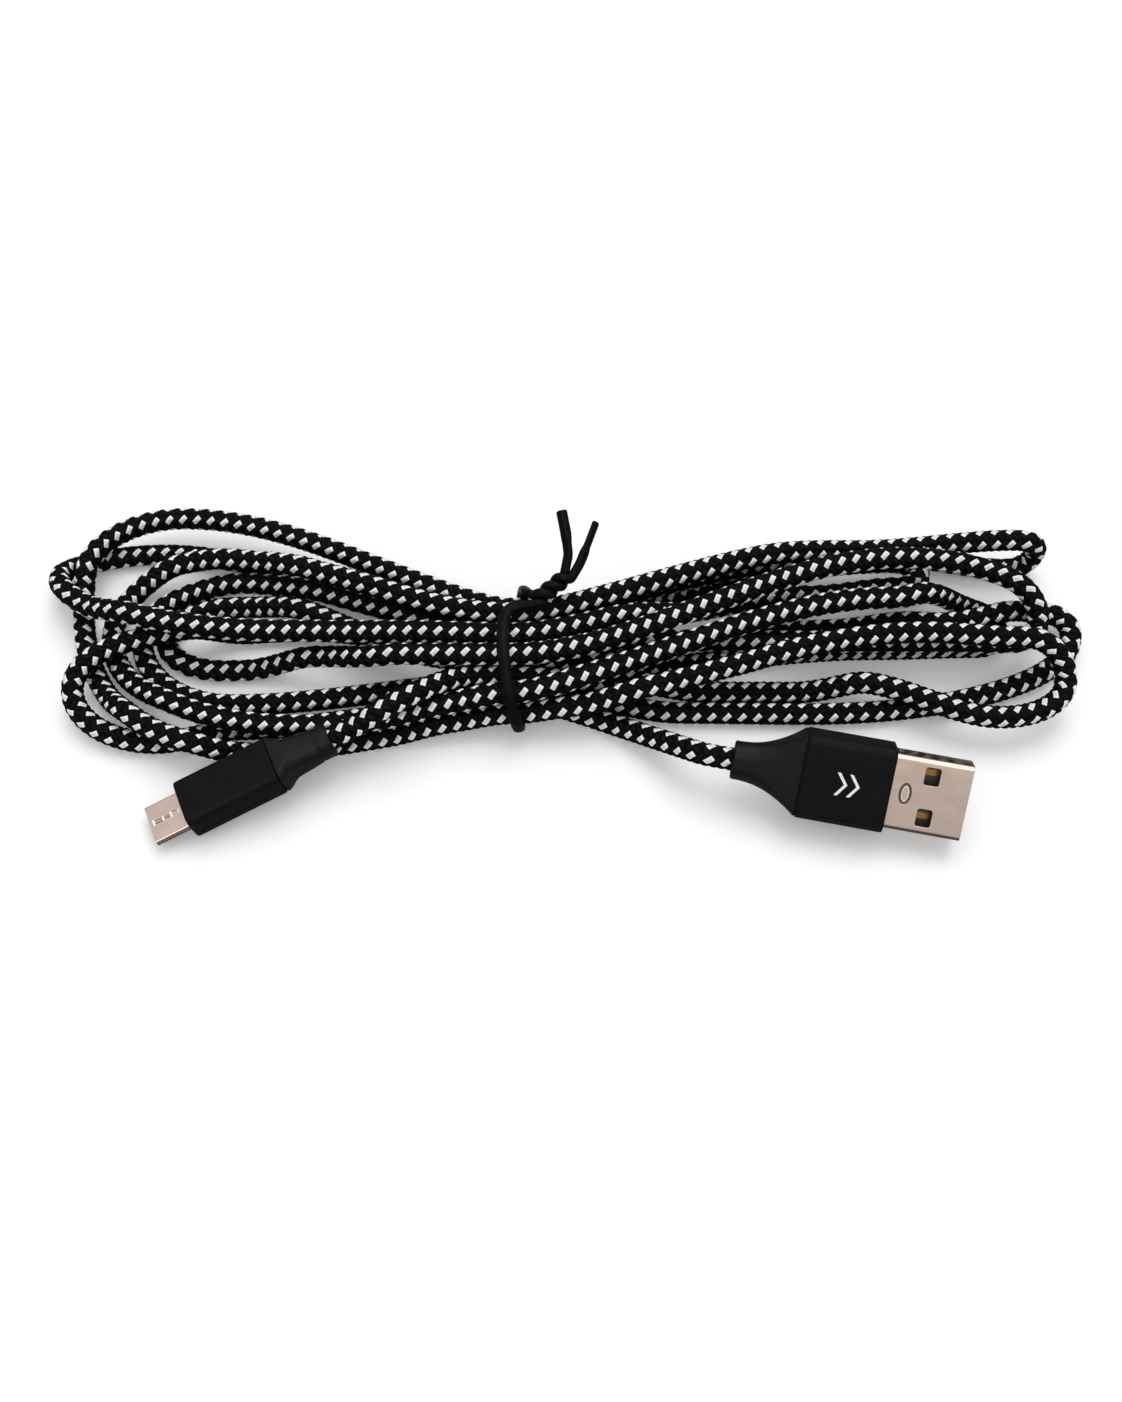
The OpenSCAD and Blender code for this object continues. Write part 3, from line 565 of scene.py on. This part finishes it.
def applied(obj):
    bpy.context.view_layer.update()
    graph = bpy.context.evaluated_depsgraph_get()
    done = bpy.data.meshes.new_from_object(obj.evaluated_get(graph))
    obj.modifiers.clear()
    old = obj.data
    obj.data = done
    bpy.data.meshes.remove(old)


def cutWith(obj, cutters):
    for c in cutters:
        mod = obj.modifiers.new("cut", "BOOLEAN")
        mod.operation = "DIFFERENCE"
        mod.solver = "EXACT"
        mod.object = c
    applied(obj)
    for c in cutters:
        bpy.data.objects.remove(c, do_unlink=True)


def eased(obj, width):
    mod = obj.modifiers.new("ease", "BEVEL")
    mod.width = width * mm
    mod.segments = 2
    mod.limit_method = "ANGLE"
    mod.angle_limit = math.radians(35)
    mod.harden_normals = True
    applied(obj)


def sheetTube(name, ends, outer, inner):
    # folded sheet: one skin out and one in, open at both ends
    rings = [np.column_stack([np.full(len(outer), x), outer]) for x in ends]
    rings += [np.column_stack([np.full(len(inner), x), inner]) for x in ends[::-1]]
    n, m = len(outer), len(rings)
    faces = [(i * n + k, i * n + (k + 1) % n, (i + 1) % m * n + (k + 1) % n, (i + 1) % m * n + k)
             for i in range(m) for k in range(n)]
    obj = newObject(name, np.concatenate(rings) * mm, faces)
    outward(obj)
    return obj


def finishShell(obj, node, cutters, edge, where):
    cutWith(obj, cutters)
    eased(obj, edge)
    obj.data.transform(where)
    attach(obj, "cable")
    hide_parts(node)


def ovalRing(name, x, z, size, wide, deep):
    # an oval ring with a square section, lying in a plug's upper face
    n, m = 48, 4
    a, b = size
    verts, faces = [], []
    for i in range(n):
        c, s = math.cos(2 * math.pi * i / n), math.sin(2 * math.pi * i / n)
        d = Vector((c * b, s * a, 0)).normalized()
        for k, (out, rise) in enumerate([(-1, -1), (1, -1), (1, 1), (-1, 1)]):
            verts.append((Vector((x + a * c, b * s, z)) + d * wide * out
                          + Vector((0, 0, deep * rise))) * mm)
            faces.append((i * m + k, (i + 1) % n * m + k, (i + 1) % n * m + (k + 1) % m,
                          i * m + (k + 1) % m))
    obj = newObject(name, verts, faces, smooth=False)
    outward(obj)
    return obj


def joined(name, parts, where):
    if len(parts) > 1:
        with bpy.context.temp_override(active_object=parts[0], object=parts[0],
                                       selected_objects=parts, selected_editable_objects=parts):
            bpy.ops.object.join()
    parts[0].name = name
    parts[0].data.transform(where)
    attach(parts[0], "cable")
    return parts[0]


# the USB-A shell: two open windows on each broad face, and a clinched oval
usbShell = sheetTube("usbShell", usb["shellEnds"], softRect(*usb["shell"], 8, 2),
                     softRect(*usb["shellInside"], 8, 2))
windowX, windowY = usb["windowAt"]
tools = [prism("windowTool", softRect(*usb["window"], 6, 1) + np.array((windowX, side * windowY)),
               -3, 3) for side in (-1, 1)]
tools.append(ovalRing("clinchTool", usb["clinchAt"], *usb["clinchCut"]))
finishShell(usbShell, "usb_a_shell", tools, usb["shellEdge"], usbPlace)
# painted shade and highlight: a dark ring lies in the clinch groove's floor, and a pale ring just
# inside it
clinchShadeRing = ovalRing("clinchShadeRing", usb["clinchAt"], *usb["clinchShadeRing"])
clinchHighlightRing = ovalRing("clinchHighlightRing", usb["clinchAt"], *usb["clinchHighlightSize"])
clinchShade = joined("clinchShade", [clinchShadeRing], usbPlace)
clinchHighlight = joined("clinchHighlight", [clinchHighlightRing], usbPlace)

# a plain pair of chevrons on the housing
chevrons = [prism("chevron", [(at + x, y) for x, y in usb["chevron"]], *usb["chevronHeights"])
            for at in usb["chevronsAt"]]
chevronMark = joined("chevronMark", chevrons, usbPlace)
print("usb plug done")

# the Micro-B plug, measured in the same way
micro = {
    "housing": (8.8, 5.6, 1.5),  # width, height and corner
    "housingBack": -15.58,
    "backSteps": ((0, 0.5, 1.3), (0.16, 0.46, 1.3), (0.2, 0.2, 1.4), (0.28, 0.04, 1.5),
                  (0.38, 0, 1.5)),
    "stations": (-14.8, -12.0, -8.0, -4.0, -1.2),
    "frontEdge": 0.4,
    "lift": 0.32,  # the housing is fuller than the CAD one and would reach under the table
    "neckFrom": -15.7,
    "neckLength": 6.8,
    "neck": (6.0, 0.45),  # thickness, and how much it loses along its length
    # places and diameters; the first few make a fine ring
    "collar": ((-22.58, 5.46), (-22.66, 5.38), (-22.74, 5.38), (-22.82, 5.46), (-22.92, 5.54),
               (-23.1, 5.56), (-24.4, 5.52), (-24.75, 5.42), (-24.93, 5.2), (-25.0, 4.8)),
    "shell": (6.85, 1.8, 0.62, 0.36),  # width, height, slant at the latches and corner
    "shellInside": (6.41, 1.36, 0.5, 0.14),
    "shellEnds": (-5, 5.8),
    "shellEdge": 0.03,
    # boxes to cut: from, to, sideways place, width, and the two heights
    "latchWindow": (2.9, 4.25, 2.05, 1.0, -2, -0.45),
    "sheetEdge": (-5.5, 6.0, 3.36, 0.2, 0.42, 0.54),
    "seam": [(5.2, 6.0, 0.0, 0.1), (3.6, 5.0, 0.24, 0.15), (3.6, 5.0, -0.24, 0.15),
             (2.25, 3.4, 0.15, 0.14), (2.25, 3.4, -0.15, 0.14), (0.66, 2.05, -0.44, 0.15)],
    "seamCut": (0.83, 1.2),
    # painted shade: the heights of the dark strips in the seam's floors
    "seamShadeStrip": (0.78, 0.85),
    # painted highlights: the bright bars along the seam, standing for the light it catches: middle,
    # size across and size along
    "seamGlints": ((5.1, 0, 1.15, 0.36), (3.5, 0, 0.9, 0.36), (2.15, -0.03, 1.05, 0.38),
             (0.9, -0.1, 0.85, 0.3)),
    "glintHeights": (0.84, 0.95),
}
rows = housingRows(micro)
microHousing = loft("microHousing", "micro_housing", rows, microPlace,
                    lift=[micro["lift"]] * len(rows))

# the neck: a fine groove, a quick waist, and a round collar
mw, mh = micro["housing"][:2]
rows = [(-15.6, mw - 0.4, mh - 0.4, 1.4), (-15.64, mw - 0.12, mh - 0.12, 1.5)]
lift = [micro["lift"]] * 2
for k in range(41):
    w = k / 40
    g = (1 - ease(min(1, w / 0.38))) ** 1.1
    thick = micro["neck"][0] - micro["neck"][1] * w
    rows.append((micro["neckFrom"] - micro["neckLength"] * w, thick + 0.2 + (mw - 0.3 - thick) * g,
                 thick - 0.35 + (mh + 0.25 - thick) * g, 1.5 + 1.1 * w))
    lift.append(micro["lift"] * (1 - ease(w)))
for x, d in micro["collar"]:
    rows.append((x, d, d, d / 2 - 0.01))
    lift.append(0)
microNeck = loft("microNeck", "micro_strain_relief", rows[::-1], microPlace, lift=lift[::-1])


def latchSection(w, h, slant, reach):
    # the shell's section, narrower towards the latches, with round corners
    corners = np.array([(w / 2, h / 2), (-w / 2, h / 2), (-w / 2, -h / 2 + slant),
                        (-w / 2 + 1.1 * slant, -h / 2), (w / 2 - 1.1 * slant, -h / 2),
                        (w / 2, -h / 2 + slant)])
    pts = []
    for i, p in enumerate(corners):
        a, b = corners[i - 1] - p, corners[(i + 1) % len(corners)] - p
        pts.append(cornerArc(p + a / np.linalg.norm(a) * reach, p,
                             p + b / np.linalg.norm(b) * reach, 5))
    return np.concatenate(pts)


def boxTool(name, x0, x1, y, width, z0, z1, side=1):
    y0, y1 = side * y - width / 2, side * y + width / 2
    return prism(name, [(x0, y0), (x1, y0), (x1, y1), (x0, y1)], z0, z1)


microShell = sheetTube("microShell", micro["shellEnds"], latchSection(*micro["shell"]),
                       latchSection(*micro["shellInside"]))
tools = [boxTool("latchTool", *micro["latchWindow"], side) for side in (-1, 1)]
tools += [boxTool("seamTool", *line, *micro["seamCut"]) for line in micro["seam"]]
# the sheet's edge shows as a fine line down each long side
tools += [boxTool("edgeTool", *micro["sheetEdge"], side) for side in (-1, 1)]
finishShell(microShell, "micro_shell", tools, micro["shellEdge"], microPlace)
# painted highlight: pale bars along the seam stand for its glints
seamGlints = []
for x, y, across, lengthwise in micro["seamGlints"]:
    outline = softRect(lengthwise, across, 0.06, 3, 1) + np.array((x, y))
    seamGlints.append(prism("seamGlint", outline, *micro["glintHeights"]))
    eased(seamGlints[-1], 0.02)
microSeamGlints = joined("microSeamGlints", seamGlints, microPlace)
# painted shade: a dark strip lies in the floor of the seam's lines, a little wider than they are
shadeStrips = [boxTool("seamShadeStrip", x0, x1, y, width + 0.04, *micro["seamShadeStrip"])
          for x0, x1, y, width in micro["seam"][1:]]
seamShade = joined("seamShade", shadeStrips, microPlace)
print("micro plug done")


def calc(tree, op, a, b=None):
    n = tree.nodes.new("ShaderNodeMath")
    n.operation = op
    for socket, x in zip(n.inputs, (a, b)):
        if isinstance(x, (int, float)):
            socket.default_value = x
        elif x is not None:
            tree.links.new(x, socket)
    return n.outputs[0]


def ramp(tree, value, low, high, to0=0.0, to1=1.0):
    n = tree.nodes.new("ShaderNodeMapRange")
    n.interpolation_type = "SMOOTHSTEP"
    tree.links.new(value, n.inputs["Value"])
    for socket, x in (("From Min", low), ("From Max", high), ("To Min", to0), ("To Max", to1)):
        n.inputs[socket].default_value = x
    return n.outputs["Result"]


def mixed(tree, factor, a, b):
    n = tree.nodes.new("ShaderNodeMix")
    n.data_type = "RGBA"
    for socket, x in ((n.inputs[0], factor), (n.inputs[6], a), (n.inputs[7], b)):
        if isinstance(x, tuple):
            socket.default_value = (*x, 1)
        else:
            tree.links.new(x, socket)
    return n.outputs[2]


def group(name, *outputs):
    g = bpy.data.node_groups.new(name, "ShaderNodeTree")
    for label, kind in outputs:
        g.interface.new_socket(label, in_out="OUTPUT", socket_type=kind)
    return g, g.nodes.new("NodeGroupOutput")


# the braid's colours: black yarn, painted nearly black in its dips as painted shade and lighter on
# its crests as a painted sheen, and white yarn at its rim and inside
braidLook = {
    "dark": ((0.0006, 0.0006, 0.0007), (0.013, 0.013, 0.0136)),
    "white": ((0.98, 0.98, 0.98), (0.68, 0.68, 0.685)),
    "roughness": (0.62, 0.5),
    "bump": 0.00012,
    "specular": 0.06,
}


def braidGroup():
    t, out = group("weave", ("Colour", "NodeSocketColor"), ("Lift", "NodeSocketFloat"),
                   ("Roughness", "NodeSocketFloat"))

    def times(a, b):
        return calc(t, "MULTIPLY", a, b)

    def plus(a, b):
        return calc(t, "ADD", a, b)

    def minus(a, b):
        return calc(t, "SUBTRACT", a, b)

    def wrapped(a, b):
        return calc(t, "FLOORED_MODULO", a, b)

    uvMap = t.nodes.new("ShaderNodeUVMap")
    uvMap.uv_map = "braid"
    xyz = t.nodes.new("ShaderNodeSeparateXYZ")
    t.links.new(uvMap.outputs[0], xyz.inputs[0])
    about, far = xyz.outputs[0], xyz.outputs[1]
    # the same weave as braidHeight
    a = times(plus(about, far), cordSizes["yarnsEachWay"])
    b = times(minus(about, far), cordSizes["yarnsEachWay"])
    i, j = calc(t, "FLOOR", a), calc(t, "FLOOR", b)
    over = calc(t, "LESS_THAN", wrapped(plus(i, j), 4), 1.5)
    under = minus(1, over)
    alongYarn = plus(times(over, wrapped(plus(i, b), 4)),
                     times(under, minus(wrapped(plus(j, a), 4), 2)))
    across = plus(times(over, calc(t, "FRACT", a)), times(under, calc(t, "FRACT", b)))
    # distance from the yarn's side, 0 to 1 in the middle, and from its ends
    side = minus(1, calc(t, "ABSOLUTE", minus(times(across, 2), 1)))
    end = calc(t, "MINIMUM", alongYarn, minus(2, alongYarn))
    # each stitch has its own number, for small differences between them
    stitch = plus(times(over, i), times(under, plus(j, 31.5)))
    # fibres run along the yarn, and fine threads beside them
    where = t.nodes.new("ShaderNodeCombineXYZ")
    t.links.new(plus(times(across, 5.5), times(stitch, 7.3)), where.inputs[0])
    t.links.new(plus(times(alongYarn, 0.9), times(far, 3)), where.inputs[1])
    fibre = t.nodes.new("ShaderNodeTexNoise")
    fibre.inputs["Scale"].default_value = 1.6
    fibre.inputs["Detail"].default_value = 2.5
    t.links.new(where.outputs[0], fibre.inputs["Vector"])
    streak = plus(fibre.outputs["Fac"], times(calc(t, "SINE", times(across, 31.4)), 0.12))
    # every other left-hand yarn is white where it lies on top
    even = calc(t, "LESS_THAN", wrapped(i, 2), 0.5)
    wobble = times(minus(fibre.outputs["Fac"], 0.5), 0.22)
    white = times(times(even, over), times(ramp(t, plus(side, wobble), 0.03, 0.13),
                                           ramp(t, plus(end, wobble), 0.12, 0.22)))
    inner = times(ramp(t, side, 0.34, 0.6), ramp(t, end, 0.36, 0.56))
    pale = mixed(t, times(inner, ramp(t, streak, 0.3, 0.6, 0.25, 0.9)), *braidLook["white"])
    # painted shade and sheen: the black yarn is darkest at its sides and ends, where it dips, and
    # lightest on its crest; the same crest mask also lifts the bump
    crest = times(ramp(t, side, 0.0, 0.8), ramp(t, end, 0.0, 0.7))
    dark = mixed(t, times(crest, ramp(t, streak, 0.35, 0.75)), *braidLook["dark"])
    t.links.new(mixed(t, white, dark, pale), out.inputs[0])
    lift = plus(times(crest, 0.75), times(times(streak, crest), 0.35))
    t.links.new(plus(lift, times(white, 0.15)), out.inputs[1])
    t.links.new(ramp(t, streak, 0.2, 0.8, *braidLook["roughness"]), out.inputs[2])
    return t


def grainGroup():
    t, out = group("grain", ("Fine", "NodeSocketFloat"), ("Broad", "NodeSocketFloat"))
    where = t.nodes.new("ShaderNodeTexCoord")
    for k, scale in enumerate((5200, 420)):
        n = t.nodes.new("ShaderNodeTexNoise")
        n.inputs["Scale"].default_value = scale
        n.inputs["Detail"].default_value = 3
        t.links.new(where.outputs["Object"], n.inputs["Vector"])
        t.links.new(n.outputs["Fac"], out.inputs[k])
    return t


weave, grain = braidGroup(), grainGroup()


def newMaterial(name, nodeGroup):
    m = bpy.data.materials.new(name)
    m.use_nodes = True
    g = m.node_tree.nodes.new("ShaderNodeGroup")
    g.node_tree = nodeGroup
    return m, m.node_tree, m.node_tree.nodes["Principled BSDF"], g.outputs


def material(name, colours, roughness, metallic=0.0, specular=0.5, bump=0.0, side=None,
             shadeBothSides=False):
    m, t, p, values = newMaterial(name, grain)
    broad = values["Broad"]
    shade = mixed(t, ramp(t, broad, 0.3, 0.7), *colours)
    if side:
        # painted shade: the sheet's sides, the near one or both, are painted a darker tone,
        # standing for the darker surroundings they reflect
        where, turned = t.nodes.new("ShaderNodeTexCoord"), t.nodes.new("ShaderNodeSeparateXYZ")
        t.links.new(where.outputs["Normal"], turned.inputs[0])
        lean = calc(t, "ABSOLUTE" if shadeBothSides else "MULTIPLY", turned.outputs[1], -1)
        shade = mixed(t, ramp(t, lean, 0.72, 0.9), shade, side)
    t.links.new(shade, p.inputs["Base Color"])
    t.links.new(ramp(t, broad, 0.3, 0.7, roughness * 0.9, roughness * 1.1), p.inputs["Roughness"])
    p.inputs["Metallic"].default_value = metallic
    p.inputs["Specular IOR Level"].default_value = specular
    if bump:
        b = t.nodes.new("ShaderNodeBump")
        b.inputs["Strength"].default_value = 1.0
        b.inputs["Distance"].default_value = bump
        t.links.new(values["Fine"], b.inputs["Height"])
        t.links.new(b.outputs[0], p.inputs["Normal"])
    return m


def dress(obj, mat):
    obj.data.materials.clear()
    obj.data.materials.append(mat)


braidMat, bt, bp, values = newMaterial("braid", weave)
bump = bt.nodes.new("ShaderNodeBump")
bump.inputs["Distance"].default_value = braidLook["bump"]
bt.links.new(values["Lift"], bump.inputs["Height"])
bt.links.new(values["Colour"], bp.inputs["Base Color"])
bt.links.new(values["Roughness"], bp.inputs["Roughness"])
bt.links.new(bump.outputs[0], bp.inputs["Normal"])
bp.inputs["Specular IOR Level"].default_value = braidLook["specular"]
dress(cord, braidMat)

# the other finishes: two colours that a soft grain mixes, roughness, and what else differs
finishes = {
    "blackPlastic": (((0.005, 0.005, 0.0054), (0.0065, 0.0065, 0.007)), 0.4,
                     {"specular": 0.065, "bump": 0.000004}),
    "softBlack": (((0.006, 0.006, 0.0064), (0.0078, 0.0078, 0.0083)), 0.38,
                  {"specular": 0.14, "bump": 0.000005}),
    "tiePlastic": (((0.0035, 0.0035, 0.0038), (0.005, 0.005, 0.0054)), 0.3,
                   {"specular": 0.06, "bump": 0.000004}),
    "tongueBlack": (((0.03, 0.028, 0.026), (0.04, 0.037, 0.034)), 0.4, {}),
    # side is a painted shade: a darker tone painted on the sheet's near side, or on both sides
    "shellMetal": (((0.56, 0.445, 0.375), (0.60, 0.48, 0.405)), 0.22,
                   {"metallic": 1.0, "side": (0.17, 0.12, 0.1)}),
    "microMetal": (((0.66, 0.52, 0.455), (0.70, 0.555, 0.485)), 0.28,
                   {"metallic": 1.0, "side": (0.3, 0.2, 0.165), "shadeBothSides": True}),
    # painted shade: a dark metal laid in the floors of grooves
    "grooveShade": (((0.1, 0.07, 0.055), (0.13, 0.09, 0.07)), 0.5, {"metallic": 0.5}),
    # painted highlight: a near-white metal for pale marks that stand for glints
    "glintMetal": (((0.93, 0.9, 0.88), (0.97, 0.94, 0.92)), 0.55, {"metallic": 0.4}),
    "markWhite": (((0.93, 0.93, 0.93), (0.97, 0.97, 0.97)), 0.6, {}),
    "steel": (((0.55, 0.55, 0.56), (0.62, 0.62, 0.63)), 0.35, {"metallic": 1.0}),
    # painted shade: the contacts' gold is painted far darker than gold, for the shade inside the
    # shells
    "gold": (((0.24, 0.125, 0.035), (0.3, 0.16, 0.045)), 0.3, {"metallic": 1.0}),
    "whitePlastic": (((0.75, 0.74, 0.71), (0.8, 0.79, 0.76)), 0.45, {}),
    "corePlastic": (((0.4, 0.05, 0.04), (0.45, 0.06, 0.05)), 0.5, {}),
    "innerBlack": (((0.02, 0.02, 0.02), (0.025, 0.025, 0.025)), 0.5, {}),
}
looks = {name: material(name, colours, roughness, **more)
        for name, (colours, roughness, more) in finishes.items()}
for obj, finish, slotName in (
        (tie, "tiePlastic", "tie_plastic"),
        (usbHousing, "blackPlastic", "black_plastic"), (usbSleeve, "softBlack", "soft_black"),
        (usbShell, "shellMetal", "shell_metal"), (clinchShade, "grooveShade", "shell_metal"),
        (clinchHighlight, "glintMetal", "shell_metal"), (chevronMark, "markWhite", "white_plastic"),
        (microHousing, "blackPlastic", "black_plastic"), (microNeck, "softBlack", "soft_black"),
        (microShell, "microMetal", "micro_metal"), (microSeamGlints, "glintMetal", "micro_metal"),
        (seamShade, "grooveShade", "micro_metal")):
    dress(obj, looks[finish])
# the CAD's own pieces that stay
for finish, slotName, names in (
        ("steel", "steel", ("tie_wire", "usb_a_clamp", "micro_latch_left", "micro_latch_right",
                            "micro_clamp")),
        ("gold", "gold", ("usb_a_contacts", "micro_contacts")),
        ("tongueBlack", "black_plastic", ("usb_a_tongue",)),
        ("innerBlack", "black_plastic", ("usb_a_cable_end", "micro_insulator",
                                         "micro_cable_end")),
        ("whitePlastic", "white_plastic", ("usb_a_inner_mould", "micro_inner_mould")),
        ("corePlastic", "core_plastic", ("usb_a_wires", "micro_wires"))):
    for name in names:
        dress(nodes[name], looks[finish])
print("materials done")

# the pale table; shiny things see it darker, and it shows a little brighter than it is lit
tableLook = {"colour": (0.93, 0.93, 0.93), "inReflections": (0.42, 0.42, 0.42), "glow": 0.16}
tableReach = 3  # metres, from its middle to its edges
corners = [(x * tableReach, y * tableReach, 0) for x, y in fourCorners[2:] + fourCorners[:2]]
floor = newObject("table", corners, [(0, 1, 2, 3)], smooth=False)
floorMat = bpy.data.materials.new("paper")
floorMat.use_nodes = True
ft = floorMat.node_tree
floorShader = ft.nodes["Principled BSDF"]
floorShader.inputs["Roughness"].default_value = 0.9
floorShader.inputs["Specular IOR Level"].default_value = 0.1
rays = ft.nodes.new("ShaderNodeLightPath")
ft.links.new(mixed(ft, rays.outputs["Is Glossy Ray"], tableLook["colour"],
                   tableLook["inReflections"]), floorShader.inputs["Base Color"])
floorShader.inputs["Emission Color"].default_value = (1, 1, 1, 1)
ft.links.new(calc(ft, "MULTIPLY", rays.outputs["Is Camera Ray"], tableLook["glow"]),
             floorShader.inputs["Emission Strength"])
floor.data.materials.append(floorMat)
print("table done")

# the light: a pale world, brighter overhead, and a broad soft sun
light = {
    "ambient": (0.52, 0.76),  # low down and overhead
    "background": 1.0,  # what the camera sees past the table
    "sun": 1.1,
    "sunWidth": 45,
    "sunTurn": (-26, 6, 0),  # degrees
    "walls": (0.78, 0.12),  # what shiny things see overhead and at the horizon
    "box": 1.7,  # a soft box that shiny things see, high up in front
    "boxAt": (0, -0.41, 0.91),
    "patch": 0.88,  # how much darker one patch of the ceiling is
    "patchAt": (0.2, 0.45, 0.87),
}
sky = bpy.data.worlds.new("studio")
scene.world = sky
sky.use_nodes = True
wt = sky.node_tree
aim = wt.nodes.new("ShaderNodeTexCoord")


def towards(direction, near, far):
    # 1 within near degrees of the direction and 0 past far degrees
    dot = wt.nodes.new("ShaderNodeVectorMath")
    dot.operation = "DOT_PRODUCT"
    wt.links.new(aim.outputs["Generated"], dot.inputs[0])
    dot.inputs[1].default_value = Vector(direction).normalized()
    return ramp(wt, dot.outputs["Value"], math.cos(math.radians(far)), math.cos(math.radians(near)))


overhead = (0, 0, 1)
ambient = ramp(wt, towards(overhead, 15, 85), 0.0, 1.0, *light["ambient"])
patch = calc(wt, "SUBTRACT", 1, calc(wt, "MULTIPLY", towards(light["patchAt"], 12, 26),
                                     light["patch"]))
skyline = ramp(wt, calc(wt, "SUBTRACT", 1, towards(overhead, 62, 84)), 0.0, 1.0, *light["walls"])
shine = calc(wt, "ADD", calc(wt, "MULTIPLY", patch, skyline),
             calc(wt, "MULTIPLY", towards(light["boxAt"], 14, 27), light["box"]))
sources = []
for strength in (ambient, shine, light["background"]):
    shade = wt.nodes.new("ShaderNodeBackground")
    if isinstance(strength, float):
        shade.inputs["Strength"].default_value = strength
    else:
        wt.links.new(strength, shade.inputs["Strength"])
    shade.inputs["Color"].default_value = (1, 1, 1, 1)
    sources.append(shade.outputs[0])
lightPath = wt.nodes.new("ShaderNodeLightPath")
# plain rays see the ambient light, and the two other kinds their own
seen = sources[0]
for ray, source in (("Is Glossy Ray", sources[1]), ("Is Camera Ray", sources[2])):
    blend = wt.nodes.new("ShaderNodeMixShader")
    wt.links.new(lightPath.outputs[ray], blend.inputs[0])
    wt.links.new(seen, blend.inputs[1])
    wt.links.new(source, blend.inputs[2])
    seen = blend.outputs[0]
wt.links.new(seen, wt.nodes["World Output"].inputs["Surface"])

lamp = bpy.data.lights.new("window", "SUN")
lamp.energy = light["sun"]
lamp.angle = math.radians(light["sunWidth"])
lampObj = bpy.data.objects.new("window", lamp)
scene.collection.objects.link(lampObj)
lampObj.rotation_euler = tuple(math.radians(v) for v in light["sunTurn"])

print("scene done")
